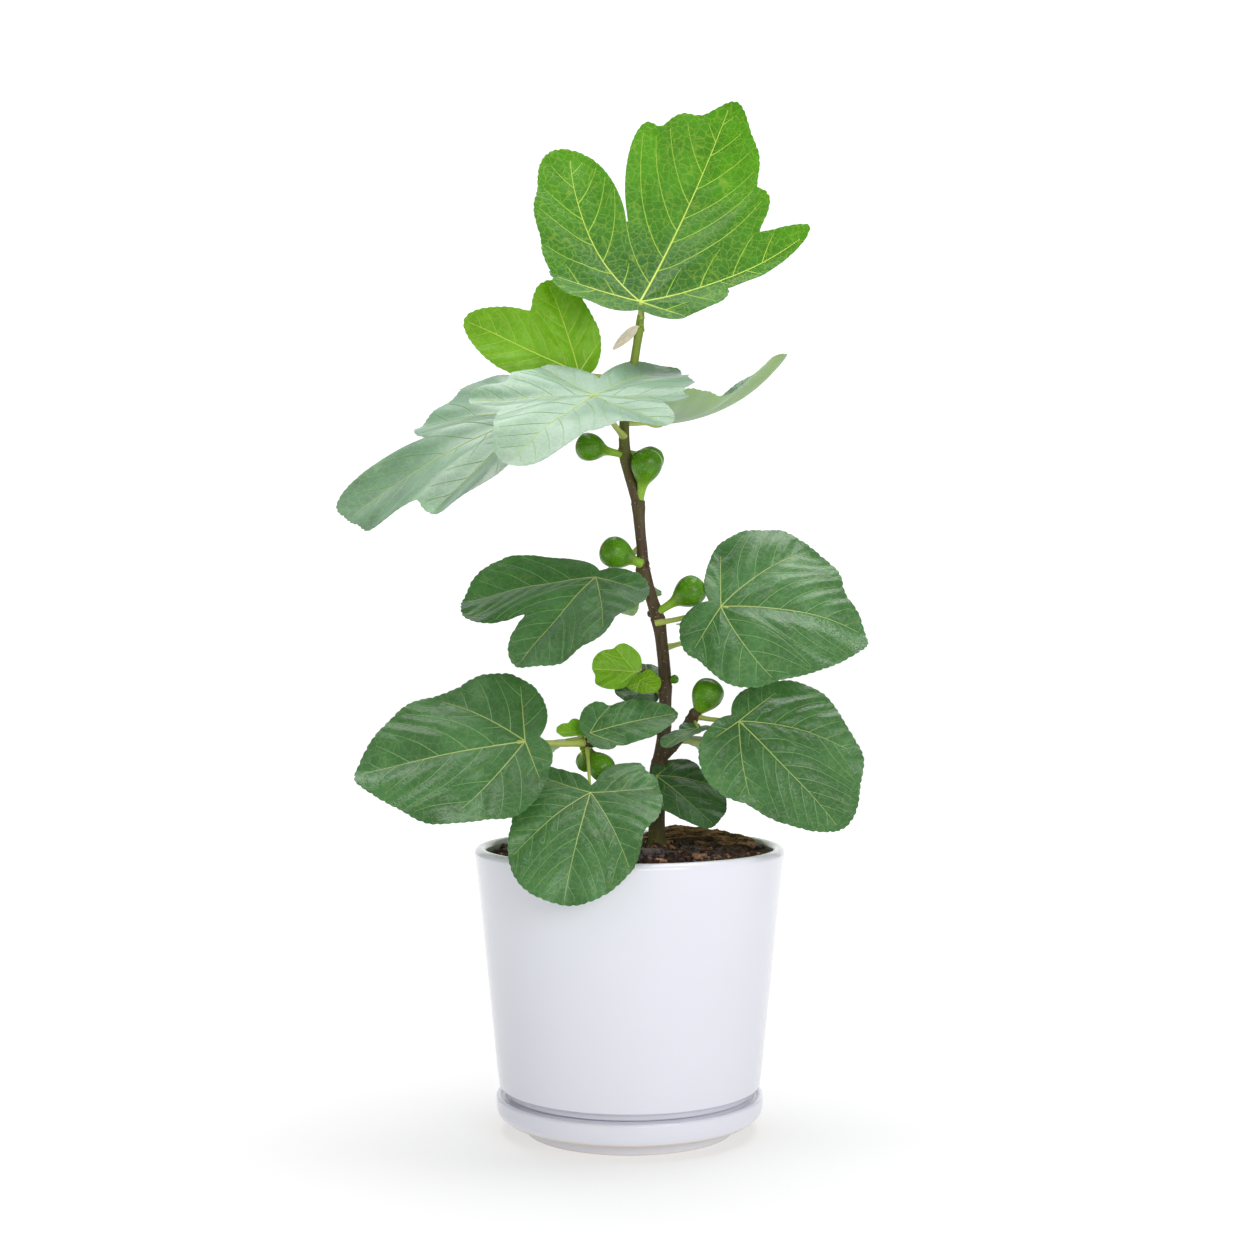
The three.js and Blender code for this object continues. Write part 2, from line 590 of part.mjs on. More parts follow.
// A seven-sided block with a bulging middle, its foot level with the soil at its inner edge.
function barkSolid({ at: [x, y], size: [length, width, height], turn }) {
  const block = new THREE.CylinderGeometry(0.4, 0.5, 1, 7, 2);
  reshape(block, (p) => {
    const bulge = Math.abs(p.y) < 0.1 ? 1.12 : 1;
    return new THREE.Vector3(p.x * length * bulge, -p.z * width * bulge, (p.y + 0.5) * height);
  });
  const seat = soilLevel(Math.hypot(x, y) - width / 2) + CLEARANCE;
  return solidOf(block.rotateZ(radians(turn)).translate(x, y, seat));
}

// A long curved slab of bark that bridges a hollow over the soil behind the stem. Its ends rest on the
// soil, and the route is that of its middle.
const SLAB = { halfWidth: 10, halfThickness: 2.6, endShare: 0.5 };
const SLAB_ENDS = [[4, 40], [92, 16]];
const SLAB_MIDDLE = [[30, 38, 206.5], [51, 34, 204.5], [73, 28, 201]];

function slabSolid() {
  const lift = SLAB.halfThickness * SLAB.endShare + 2 * CLEARANCE;
  const [near, far] = SLAB_ENDS.map(([x, y]) => [x, y, soilLevel(Math.hypot(x, y)) + lift]);
  const curve = new THREE.CatmullRomCurve3([near, ...SLAB_MIDDLE, far].map(vec));
  const swell = (t) => 1 - (1 - SLAB.endShare) * Math.abs(2 * t - 1) ** 3;
  return limb(curve, (t) => [SLAB.halfWidth * swell(t), SLAB.halfThickness * swell(t)], 8, 8);
}

// Build

place("main_stem", stemSolid(0), "stem");
const stemRoom = stemSolid(CLEARANCE);
const limbRooms = [stemRoom];
for (const [name, shoot] of Object.entries(SHOOTS)) {
  place(name, shootSolid(shoot, 0).subtract(stemRoom), "stem");
  limbRooms.push(shootSolid(shoot, CLEARANCE));
}
const limbRoom = limbRooms.reduce((all, room) => all.add(room));

// What hangs on a limb is cut clear of all limbs. The cut can leave a crumb inside them, which is dropped.
function clearOfLimbs(solid) {
  const bodies = solid.subtract(limbRoom).decompose();
  return bodies.reduce((best, body) => (body.volume() > best.volume() ? body : best));
}

for (const [name, leaf] of Object.entries(LEAVES))
  place(name, clearOfLimbs(leafSolid(leaf)), leaf.finish ?? "leaf");
for (const [name, fruit] of Object.entries(FIGS)) place(name, clearOfLimbs(figSolid(fruit)), "fig");

place("pot", potSolid(), "glaze");
place("saucer", saucerSolid(), "glaze");
place("soil", soilSolid(), "soil");
place("bark_slab", slabSolid(), "bark");
for (const [name, piece] of Object.entries(BARK)) place(name, barkSolid(piece), "bark");

export default plant;
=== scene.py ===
"""A young fig in a white glazed pot with its saucer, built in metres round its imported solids."""

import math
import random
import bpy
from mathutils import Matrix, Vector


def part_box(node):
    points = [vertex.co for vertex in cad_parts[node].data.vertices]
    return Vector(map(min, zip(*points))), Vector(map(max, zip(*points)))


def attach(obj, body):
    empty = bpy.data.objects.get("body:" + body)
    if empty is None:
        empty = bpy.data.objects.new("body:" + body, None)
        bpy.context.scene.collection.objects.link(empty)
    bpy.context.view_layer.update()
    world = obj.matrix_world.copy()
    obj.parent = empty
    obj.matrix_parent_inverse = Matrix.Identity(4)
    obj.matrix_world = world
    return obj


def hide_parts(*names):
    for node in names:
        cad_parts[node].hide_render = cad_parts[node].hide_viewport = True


bl_info = {
    "name": "Potted fig",
    "version": (1, 0, 0),
    "blender": (4, 5, 0),
    "location": "View3D > Sidebar > Potted fig",
    "description": "Builds a young fig in a glazed pot and the studio round it",
    "category": "Object",
}

from collections import namedtuple

import bmesh
import bpy
import numpy as np
from bpy.props import FloatProperty, FloatVectorProperty, IntProperty, PointerProperty
from mathutils import Matrix, Vector, kdtree, noise

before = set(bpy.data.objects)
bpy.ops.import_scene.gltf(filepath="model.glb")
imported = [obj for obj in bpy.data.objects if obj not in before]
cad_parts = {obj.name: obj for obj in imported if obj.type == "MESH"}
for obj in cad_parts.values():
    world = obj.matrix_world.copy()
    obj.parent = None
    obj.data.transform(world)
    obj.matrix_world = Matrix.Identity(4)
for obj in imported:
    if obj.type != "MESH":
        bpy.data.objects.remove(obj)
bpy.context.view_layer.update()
MM = 0.001
TURN = 2 * math.pi
# Points of a mesh that are nearer than this, in metres, are one.
MERGE = 1e-7

# The stem's middle line from the soil up, as x, y, z and radius in millimetres.
STEM = [
    (19, 0, 194, 8.2), (19, 0, 198, 7), (19.2, 0, 204, 6.2), (19.3, 0, 225, 5.8), (19.6, -1, 250, 5.7),
    (23, -1, 268, 5.2), (24.6, -1, 285, 4.6), (25.3, 0, 315, 4.4), (22.6, 1, 345, 4.4), (20, 1, 361, 4.8),
    (15.3, 0, 376, 4.3), (11.3, 0, 390, 4.4), (9.4, 0, 396, 4.8), (8.8, 0, 410, 3.9), (7, -1, 428, 4),
    (5.9, -1, 443, 4.5), (2.4, -1, 454, 4), (-2.8, 0, 475, 4.1), (-3.9, 0, 496, 3.6), (-1, 0, 520, 3.3),
    (4, 0, 548, 3), (7.6, -1, 573, 2.7), (8.2, -1, 579, 1.6),
]
# Heights of the stem's nodes in millimetres, each with the ring that a fallen bud scale leaves.
STEM_NODES = [259, 285, 313, 361, 396, 443, 477, 509, 533, 566]

# Side shoots, in millimetres: foot, tip, how far the middle sags, and radii at foot, middle and tip.
SHOOTS = {
    "shoot_left": ((23, -1, 282), (-31, -50, 275), -5, (3.6, 2.9, 3.9)),
    "shoot_right": ((22, -1, 262), (48, -16, 297), 3, (4.6, 3.8, 4.4)),
    "shoot_small": ((25, 0, 312), (8, -10, 325), 1, (1.9, 1.5, 1.7)),
}
# Places of a shoot's nodes, as shares of its length.
SHOOT_NODES = [0.3, 0.58, 0.82, 0.92]

HEART = [(0, 1, 0.38), (60, 0.56, 0.27), (-60, 0.52, 0.26), (106, 0.33, 0.14), (-106, 0.27, 0.12)]
HEART_VEINS = [(0, 0.97, 0), (40, 0.66, -12), (-40, 0.64, 12), (92, 0.34, 0), (-92, 0.3, 0)]
ROUND = [(0, 1, 0.44), (45, 0.8, 0.34), (-45, 0.8, 0.34), (98, 0.45, 0.2), (-98, 0.45, 0.2)]
FIVEFOLD = [
    (0, 1, 0.2, 0.2), (44, 0.84, 0.17, 0.1), (-44, 0.84, 0.17, 0.1), (86, 0.56, 0.18), (-86, 0.56, 0.18),
    (125, 0.34, 0.14), (-125, 0.34, 0.14),
]
FIVEFOLD_VEINS = [
    (0, 0.97, 0), (44, 0.8, 4), (-44, 0.8, -4), (86, 0.52, 0), (-86, 0.52, 0), (125, 0.3, 0), (-125, 0.3, 0),
]

# Every leaf, in millimetres: where its petiole starts, the blade's foot and tip, the way its upper side
# faces, how far it bends along and curls across in degrees, the petiole's radius and the leaf's age. A
# lobe is an ellipse on a line from the foot: its angle, reach, half width, start and point. A main vein
# is its angle, reach and turn. Angles are in degrees from the midrib, and the rest are shares of the
# blade's length.
Leaf = namedtuple("Leaf", "start foot tip faces bend curl petiole age lobes veins")
LEAVES = {
    "leaf_top": Leaf(
        (8, -1, 574), (7.6, -5, 587), (74, 45, 740), (0.05, -0.85, 0.5), -38, 14, 2, "young",
        [
            (1, 1.01, 0.2, 0.2, 0.3), (-20, 0.86, 0.085, 0.3), (-10, 0.91, 0.12, 0.3),
            (23, 0.73, 0.11, 0.2), (11, 0.85, 0.11, 0.3), (-46, 0.78, 0.13, 0.28),
            (-53, 0.75, 0.14, 0.15), (-64, 0.62, 0.15, 0.05), (-82, 0.46, 0.12), (-30, 0.4, 0.12),
            (42, 0.77, 0.1, 0.2, 0.3), (60, 0.36, 0.1), (-104, 0.36, 0.09), (-124, 0.2, 0.07),
            (88, 0.2, 0.065),
        ],
        [(0, 0.97, 0), (-65, 0.75, 40), (52, 0.77, -18), (-98, 0.34, 0), (90, 0.18, 0)],
    ),
    "leaf_upper_left": Leaf(
        (1, 1, 532), (-36, 2, 536.3), (-118.3, 8, 575), (0.1, -0.95, 0.25), 10, 8, 1.6, "tender",
        [(0, 1, 0.28, 0.05, 0.35), (46, 0.8, 0.23), (66, 0.48, 0.17), (-45, 0.42, 0.15), (104, 0.2, 0.08)],
        [(-2, 0.96, 3), (50, 0.75, -8), (-48, 0.36, 8), (96, 0.3, 0)],
    ),
    "leaf_middle_front": Leaf(
        (-4, -1, 490), (-24.2, -55, 514.6), (-80, -130, 461), (0, -0.57, 0.82), 12, 6, 2.1, "waxy",
        [
            (0, 1, 0.25, 0.1), (16, 0.78, 0.2, 0.1), (46, 0.8, 0.18, 0.1), (72, 0.56, 0.18),
            (106, 0.5, 0.18), (-74, 0.68, 0.2), (-32, 0.55, 0.2), (-118, 0.6, 0.16), (-146, 0.7, 0.2),
            (-160, 0.78, 0.14), (-174, 0.9, 0.17, 0.1),
        ],
        [(0, 0.96, 0), (48, 0.77, -3), (104, 0.46, 0), (-74, 0.65, 0), (-118, 0.54, 0), (-173, 0.82, 0)],
    ),
    "leaf_middle_right": Leaf(
        (-3, 0, 500), (18.4, 25, 504), (113.2, 35, 554.6), (-0.4, -0.1, 0.9), -56, 30, 1.9, "waxy",
        HEART, HEART_VEINS,
    ),
    "leaf_middle_left": Leaf(
        (-3, 0, 508), (-67, 0, 508.4), (-205.5, -15, 437), (-0.35, -0.55, 0.76), 22, -8, 2, "waxy",
        [
            (0, 1, 0.14, 0.4), (-8, 0.98, 0.13, 0.4), (-16, 0.97, 0.12, 0.4), (-34, 0.78, 0.2, 0.1),
            (28, 0.57, 0.2), (38, 0.6, 0.2), (50, 0.6, 0.2), (72, 0.6, 0.18), (-75, 0.35, 0.2),
            (108, 0.3, 0.14),
        ],
        [(-6, 0.95, 0), (-38, 0.74, 8), (42, 0.6, -8), (-82, 0.32, 0), (106, 0.26, 0)],
    ),
    "leaf_lower_left": Leaf(
        (9, 0, 393), (-23.9, -25, 391), (-76.7, -80, 331.6), (-0.2, -0.6, 0.75), 16, 5, 1.4, "full",
        [
            (-2, 1.03, 0.2, 0.15), (-9, 1, 0.2, 0.1), (-17, 0.95, 0.2, 0.1), (31, 0.92, 0.15, 0.25),
            (39, 0.99, 0.19, 0.15), (48, 0.98, 0.2, 0.1), (57, 0.92, 0.2, 0.1), (67, 0.82, 0.19),
            (84, 0.4, 0.12), (-30, 0.84, 0.24), (-60, 0.64, 0.25), (-88, 0.44, 0.14),
        ],
        [(-2, 0.96, 0), (56, 0.98, -14), (-44, 0.68, 8), (-88, 0.4, 0)],
    ),
    "leaf_lower_right": Leaf(
        (19, -2, 358), (63.3, -25, 370), (166, -30, 342.5), (0.1, -0.85, 0.5), 30, -12, 1.9, "full",
        [
            (-2, 1, 0.48, -0.05, 0.5), (-34, 0.85, 0.34, -0.03, 0.2), (-54, 0.78, 0.3), (-70, 0.77, 0.26),
            (-86, 0.68, 0.18, 0), (-100, 0.56, 0.1, 0.1), (50, 0.64, 0.3), (98, 0.42, 0.2),
            (138, 0.29, 0.06, 0.04),
        ],
        [(-12, 0.97, 14), (-64, 0.74, 26), (56, 0.62, -24), (-104, 0.44, 0), (108, 0.34, 0)],
    ),
    "leaf_shoot_right": Leaf(
        (47, -15, 292), (75.7, -35, 290.7), (142.6, -60, 218), (0.25, -0.85, 0.45), 16, -8, 1.7, "full",
        [
            (-4, 1.02, 0.44, -0.03, 0.2), (-26, 0.91, 0.36), (-58, 0.73, 0.3), (-94, 0.38, 0.14),
            (44, 0.62, 0.28), (62, 0.5, 0.18),
        ],
        [(0, 0.97, 0), (-50, 0.78, 26), (44, 0.56, -14), (-92, 0.38, 0), (92, 0.22, 0)],
    ),
    "leaf_shoot_edge": Leaf(
        (45, -15, 290), (48, -24, 285.2), (22.8, -45, 272.6), (0, -0.15, 1), 10, 8, 1.1, "full",
        [(0, 1, 0.3), (60, 0.4, 0.2), (-60, 0.4, 0.2)], [(0, 0.95, 0), (45, 0.36, 0), (-45, 0.36, 0)],
    ),
    "leaf_stem_foot": Leaf(
        (21, -2, 254), (18.8, -13, 250.9), (59, -35, 217.4), (0.2, -0.8, 0.55), 16, -8, 1.3, "shaded",
        [
            (0, 1, 0.3), (-14, 0.98, 0.26), (-28, 0.9, 0.26), (-62, 0.56, 0.2), (24, 0.62, 0.17),
            (-105, 0.28, 0.1),
        ],
        [(0, 0.95, 0), (-44, 0.8, 20), (40, 0.48, -10), (-90, 0.32, 0)],
    ),
    "leaf_shoot_left": Leaf(
        (-32, -49, 276), (-70, -80, 279.8), (-184.8, -90, 257.6), (-0.12, -0.8, 0.6), 10, -8, 2.3, "full",
        [
            (-2, 0.99, 0.49, -0.06, 0.6), (-26, 0.76, 0.26), (62, 0.56, 0.24), (84, 0.48, 0.18),
            (-58, 0.56, 0.22), (-98, 0.26, 0.12), (110, 0.28, 0.1),
        ],
        [(0, 0.97, 0), (50, 0.58, -14), (-48, 0.56, 14), (96, 0.4, 0), (-98, 0.26, 0)],
    ),
    "leaf_bud": Leaf(
        (-32, -47, 278), (-33, -48, 284.5), (-50, -56, 283.5), (0.2, -0.6, 0.8), -20, 30, 0.8, "tender",
        HEART, [(0, 0.95, 0)],
    ),
    "leaf_over_rim": Leaf(
        (-29, -51, 272), (-26.2, -88, 246), (-43, -130, 177.6), (-0.1, -0.95, 0.3), 35, -6, 1.2, "full",
        [
            (0, 1.01, 0.52, -0.04, 0.15), (16, 0.98, 0.4, -0.03, 0.1), (-75, 0.6, 0.3),
            (-100, 0.57, 0.2, 0), (-120, 0.57, 0.18, 0.05), (90, 0.62, 0.2, 0), (107, 0.56, 0.11, 0.1),
            (-142, 0.55, 0.12, 0.1), (60, 0.66, 0.28),
        ],
        [(0, 0.97, 0), (40, 0.86, -12), (-42, 0.82, 14), (96, 0.5, 20), (-104, 0.52, -20)],
    ),
    "leaf_small_left": Leaf(
        (8, -10, 325), (4, -13, 323.4), (-26.4, -20, 329.1), (0, -0.9, 0.4), 12, 10, 0.8, "tender",
        [(0, 1, 0.42), (-28, 1, 0.28), (48, 0.72, 0.28), (80, 0.48, 0.16)],
        [(-6, 0.95, 0), (42, 0.66, 0), (-46, 0.5, 0)],
    ),
    "leaf_small_right": Leaf(
        (10.2, -8.7, 323.4), (7, -25, 318), (19, -38, 311), (0.1, -0.9, 0.4), 10, 10, 0.8, "tender",
        [(0, 1, 0.5), (62, 0.62, 0.34), (-62, 0.62, 0.34), (136, 0.34, 0.18), (-136, 0.34, 0.18)],
        [(0, 0.95, 0), (52, 0.6, 0), (-52, 0.6, 0)],
    ),
    "leaf_small_back": Leaf(
        (25, 1, 306), (17, 12, 310), (-12.7, 24, 326), (0, -0.6, 0.8), 12, -8, 1, "shaded",
        ROUND, [(0, 0.95, 0), (45, 0.7, 0), (-45, 0.7, 0)],
    ),
    "leaf_inner": Leaf(
        (-28, -51, 277), (-27.1, -56, 283.4), (33.6, -28, 295.8), (0.1, -0.8, 0.6), 14, -8, 1, "full",
        [(0, 1, 0.27, -0.03, 0.4), (-44, 0.41, 0.17), (50, 0.3, 0.14), (-96, 0.17, 0.08)],
        [(0, 0.96, 0), (-44, 0.5, 18), (46, 0.36, -14)],
    ),
    "leaf_rear_top": Leaf(
        (8, 1, 566), (10, 28, 602), (22, 140, 655), (0.05, -0.3, 0.95), 18, 10, 1.8, "young",
        FIVEFOLD, FIVEFOLD_VEINS,
    ),
    "leaf_rear_upper": Leaf(
        (-2, 2, 515), (-50, 56, 521), (-78, 158, 548), (0, -0.1, 1), 24, -8, 2, "full",
        FIVEFOLD, FIVEFOLD_VEINS,
    ),
    "leaf_rear_middle": Leaf(
        (8, 1, 412), (-28, 60, 392), (-76, 150, 362), (0, 0.3, 0.95), 24, -8, 1.9, "full",
        FIVEFOLD, FIVEFOLD_VEINS,
    ),
    "leaf_rear_lower": Leaf(
        (24, 1, 340), (74, 50, 360), (130, 136, 338), (0.15, 0.3, 0.95), 22, -8, 1.9, "full",
        HEART, HEART_VEINS,
    ),
    "leaf_rear_left": Leaf(
        (24, 1, 290), (-60, 58, 272), (-140, 122, 258), (-0.25, 0.3, 0.9), 20, -8, 1.9, "full",
        FIVEFOLD, FIVEFOLD_VEINS,
    ),
    "leaf_rear_right": Leaf(
        (23, 1, 276), (64, 40, 272), (112, 126, 242), (0.2, 0.35, 0.9), 20, -8, 1.7, "full",
        HEART, HEART_VEINS,
    ),
}
# The dried scale of the bud that the top leaf came from, told as a leaf is.
DRY_SCALE = Leaf(
    (8, -2, 569), (5, -6, 567), (-11.8, -7, 550.8), (0.35, -0.9, -0.2), -30, 30, 1, "dry",
    [(0, 1, 0.17, -0.03, 0.5)], [(0, 0.95, 0)],
)

# Green figs, in millimetres: the stalk's start inside its limb, the fruit's centre and its radius.
FIGS = {
    "fig_top_left": ((-3, 0, 477), (-28.6, -12, 481.7), 9.9),
    "fig_top_right": ((7, -2, 445), (11.9, -9, 470), 11.1),
    "fig_top_rear": ((-2, 1, 479), (15, 15, 475), 9.6),
    "fig_middle": ((8, -3, 400), (-10.3, -14, 407.3), 11.2),
    "fig_right": ((19, 0, 365), (43.3, -8, 380.4), 10.9),
    "fig_shoot": ((48, -16, 296), (54.8, -18, 308.5), 11),
    "fig_front": ((-28, -47, 270), (-19.3, -54, 259.5), 9.2),
    "fig_behind": ((-32, -46, 272), (-30.2, -34, 262), 7.2),
    "fig_bud": ((25, 0, 315), (31.8, -2, 318), 3.1),
}
# A fig's outline from its stalk to its eye: place along its axis and radius, in radii of the fruit.
FIG_OUTLINE = [
    (-1.9, 0.27), (-1.65, 0.29), (-1.4, 0.34), (-1.17, 0.45), (-0.96, 0.61), (-0.74, 0.76), (-0.52, 0.88),
    (-0.26, 0.97), (0, 1), (0.32, 0.965), (0.6, 0.83), (0.79, 0.61), (0.9, 0.37), (0.945, 0.2), (0.925, 0.1),
    (0.9, 0),
]

# The radius of the soil's top, and how high its middle and its edge are, in metres.
SOIL_RADIUS, SOIL_LEVEL, SOIL_EDGE = 0.1004, 0.1977, 0.194
# The soil's material slots.
PEAT, COMPOSTED, RUSTY, WEATHERED = range(4)
# Half the length, width and height of a flake of bark in the soil, each from and to, in millimetres.
FLAKE_SIZES = [(2.2, 6.5), (1.5, 3.8), (0.6, 1.5)]
# Broken bark on the soil, in millimetres: its middle, length, width and height, its turn, and its finish.
CHUNKS = {
    "bark_front": ((11, -64), (25, 12, 8), 8, "Weathered bark"),
    "bark_front_small": ((28.5, -63), (8.5, 9, 6.5), -20, "Composted bark"),
    "bark_chip": ((47, -60), (11, 8, 5), 15, "Rusty bark"),
}
# The slab's middle line along the soil's far side, its half width and its half height, in millimetres.
SLAB = [(4, 38, 197.6), (30, 35, 203.5), (51, 31, 202), (72, 25, 199.4), (89, 14, 197)]
SLAB_HALF = (13.5, 3.6)

# The photograph is this many pixels wide, and its lens this many pixels long.
PHOTO_WIDTH, PHOTO_LENS = 1254, 1900
# The camera's sensor in millimetres, its place, and the point that the lamps face, in metres.
SENSOR = 36
CAMERA_AT = (-0.0019, -1.349, 0.355)
LAMPS_AIM = (0, 0, 0.35)


def linear(hex_colour):
    """The linear colour, with alpha, of an sRGB hex value."""
    parts = [int(hex_colour[i : i + 2], 16) / 255 for i in (0, 2, 4)]
    return [c / 12.92 if c <= 0.04045 else ((c + 0.055) / 1.055) ** 2.4 for c in parts] + [1.0]


def tone(base, share, lift=0):
    """A darker or paler tone of a linear colour."""
    return [min(1, c * share + lift) for c in base[:3]] + [1]


def colour(name, description, hex_colour):
    """A colour that the user can set."""
    return FloatVectorProperty(
        name=name, description=description, subtype="COLOR", size=4, min=0, max=1, default=linear(hex_colour)
    )


def length(name, description, metres):
    """A length that the user can set."""
    return FloatProperty(name=name, description=description, unit="LENGTH", min=0, default=metres)


def power(name, description, watts):
    """A lamp's power that the user can set."""
    return FloatProperty(name=name, description=description, subtype="POWER", min=0, default=watts)


def count(name, description, pieces):
    """How many of a thing the user can have."""
    return IntProperty(name=name, description=description, min=0, default=pieces)


class PottedFigPot(bpy.types.PropertyGroup):
    rim_radius: length("Rim radius", "Outside of the pot at its rim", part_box("pot")[1].x)
    rim_height: length("Rim height", "Top of the rim over the floor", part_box("pot")[1].z)
    wall: length("Wall", "Thickness of the pot's wall", 8.7 * MM)
    glaze: colour("Glaze", "White glaze with a trace of lilac", "DFE0E9")
    bare: colour("Bare foot", "Unglazed clay of the foot ring", "DDD0C0")


class PottedFigSoil(bpy.types.PropertyGroup):
    peat: colour("Peat", "Moist potting soil", "3A281D")
    bark: colour("Bark", "Broken conifer bark", "7E5842")
    fresh: colour("Fresh bark", "Bark where it broke lately", "B58A66")
    crumbs: count("Crumbs", "Lumps of soil on its top", 1500)
    chips: count("Chips", "Flakes of bark in the soil's top", 230)


class PottedFigStem(bpy.types.PropertyGroup):
    bark: colour("Bark", "Brown bark of last year's wood", "4D3B25")
    green: colour("Green wood", "This year's wood near the top", "7D9430")
    lenticel: colour("Lenticels", "Pale breathing pores in the bark", "8F7F62")
    ring: length("Node ring", "How far the ring at each node stands out", 0.45 * MM)


class PottedFigLeaf(bpy.types.PropertyGroup):
    full: colour("Leaf", "Upper side of a full-grown leaf", "3C6F36")
    young: colour("Young leaf", "Upper side of a young leaf", "559A04")
    # The shaded leaf's darker green is painted shade.
    shaded: colour("Shaded leaf", "Upper side of a leaf low in the plant", "335F30")
    under: colour("Underside", "Underside of a full-grown leaf", "86AE5A")
    vein: colour("Vein", "Main and side veins", "A0B766")
    petiole: colour("Petiole", "Leaf stalks", "9AA94A")
    thickness: length("Thickness", "Of a blade, without its veins", 0.5 * MM)
    tooth: length("Tooth", "Depth of the margin's round teeth", 0.75 * MM)
    quilt: length("Quilting", "How far the blade bulges between its veins", 0.9 * MM)


class PottedFigFruit(bpy.types.PropertyGroup):
    skin: colour("Skin", "Unripe skin", "4E8310")
    neck: colour("Neck", "Skin near the stalk", "84AC34")
    rib: length("Rib", "Height of the skin's faint ribs", 0.12 * MM)


class PottedFigStage(bpy.types.PropertyGroup):
    floor: colour("Floor", "Plain pale floor", "FFFFFF")
    key: power("Key light", "Softbox at the front left", 2)
    fill: power("Fill light", "Wide softbox in front, on the right", 16)
    top: power("Top light", "Wide softbox overhead", 64)
    strip: power("Strip light", "Narrow softbox at the left", 1.4)


GROUPS = {
    "potted_fig_pot": PottedFigPot,
    "potted_fig_soil": PottedFigSoil,
    "potted_fig_stem": PottedFigStem,
    "potted_fig_leaf": PottedFigLeaf,
    "potted_fig_fruit": PottedFigFruit,
    "potted_fig_stage": PottedFigStage,
}


# Meshes


def lay(bm, points, part=0, flat=None):
    """Lays a grid of faces on closed rows of points, outwards, and merges what coincides.

    part is the material slot of the rows of points, one number or one for each row, and flat holds
    each point's place on the piece's UV map.
    """
    middle = points - points.mean((0, 1))
    a, b, c, d = middle[:-1, :-1], middle[1:, :-1], middle[1:, 1:], middle[:-1, 1:]
    rows, columns = points.shape[0] - 1, points.shape[1] - 1
    parts = np.broadcast_to(part, rows + 1)
    if (np.cross(a, b) * c).sum() + (np.cross(a, c) * d).sum() < 0:
        points = points[:, ::-1]
        flat = None if flat is None else flat[:, ::-1]
    kind = bm.verts.layers.int.get("part") or bm.verts.layers.int.new("part")
    laid = bm.verts.layers.float_vector.get("flat") or bm.verts.layers.float_vector.new("flat")
    made = bmesh.ops.create_grid(bm, x_segments=rows, y_segments=columns, size=0.5)["verts"]
    at = np.array([v.co[:2] for v in made]) + 0.5
    row, column = np.rint(at * (rows, columns)).astype(int).T
    places = points[row, column].tolist()
    flats = None if flat is None else np.pad(flat[row, column], ((0, 0), (0, 1))).tolist()
    for i, (v, slot) in enumerate(zip(made, parts[row].tolist())):
        v.co = places[i]
        v[kind] = slot
        if flats:
            v[laid] = flats[i]
    bmesh.ops.remove_doubles(bm, verts=made, dist=MERGE)


def spline(points, steps):
    """Points on a smooth line through the given ones, evenly between each two."""
    p = np.array(points, float)
    p = np.vstack([2 * p[0] - p[1], p, 2 * p[-1] - p[-2]])
    t = np.linspace(0, len(p) - 3, steps + 1)
    k = np.minimum(t.astype(int), len(p) - 4)
    t = (t - k)[:, None]
    a, b, c, d = p[k], p[k + 1], p[k + 2], p[k + 3]
    return 0.5 * (2 * b + (c - a) * t + (2 * a - 5 * b + 4 * c - d) * t**2 + (3 * b - 3 * c + d - a) * t**3)


def unit(vectors):
    """The vectors, each made 1 long."""
    return vectors / np.linalg.norm(vectors, axis=-1, keepdims=True)


def rings(middle, radii, sides, bulge=None):
    """Rows of points round a middle line, closed at both ends. bulge gives what each point adds."""
    along = unit(np.gradient(middle, axis=0))
    across = np.array([1.0, 0, 0]) if abs(along[0][0]) < 0.8 else np.array([0, 1.0, 0])
    turns = []
    for step in along:
        across = unit(across - across @ step * step)
        turns.append(across)
    across = np.array(turns)[:, None]
    over = np.cross(along, across[:, 0])[:, None]
    angle = np.linspace(0, TURN, sides + 1)[None, :, None]
    radii = np.asarray(radii, float)
    wide, high = (radii[:, 0], radii[:, 1]) if radii.ndim == 2 else (radii, radii)
    out = across * np.cos(angle) * wide[:, None, None] + over * np.sin(angle) * high[:, None, None]
    if bulge is not None:
        out = out * (1 + bulge[:, :, None] / np.linalg.norm(out, axis=2, keepdims=True))
    body = middle[:, None] + out
    ends = [np.repeat(end[None, None], sides + 1, 1) for end in (middle[0], middle[-1])]
    return np.concatenate([ends[0], body, ends[1]])


def bulges(rows, sides, rise):
    """What rise(row, angle) adds to the points of rings, closed round each row."""
    table = [[rise(i, TURN * j / sides) for j in range(sides)] for i in range(rows)]
    return np.array([row + row[:1] for row in table])


def bumps(places, nodes, width):
    """The sum, at each place along a limb, of a smooth bump of height 1 over each of its nodes."""
    return np.exp(-(((places[:, None] - nodes) / width) ** 2)).sum(1)


def spun(bm, profile, sides):
    """Turns a line of radius and height pairs, which starts and ends on the axis, about +Z."""
    line = [bm.verts.new((r, 0, z)) for r, z in profile]
    edges = [bm.edges.new(pair) for pair in zip(line, line[1:])]
    bmesh.ops.spin(
        bm, geom=line + edges, cent=(0, 0, 0), axis=(0, 0, 1), angle=TURN, steps=sides, use_merge=True
    )
    bmesh.ops.remove_doubles(bm, verts=bm.verts, dist=MERGE)
    bmesh.ops.recalc_face_normals(bm, faces=bm.faces)
    # A spin makes its faces in another order each time, so they are put in order by their corners.
    bm.verts.index_update()
    bm.faces.sort(key=lambda face: face.verts[0].index * len(bm.verts) + face.verts[2].index)


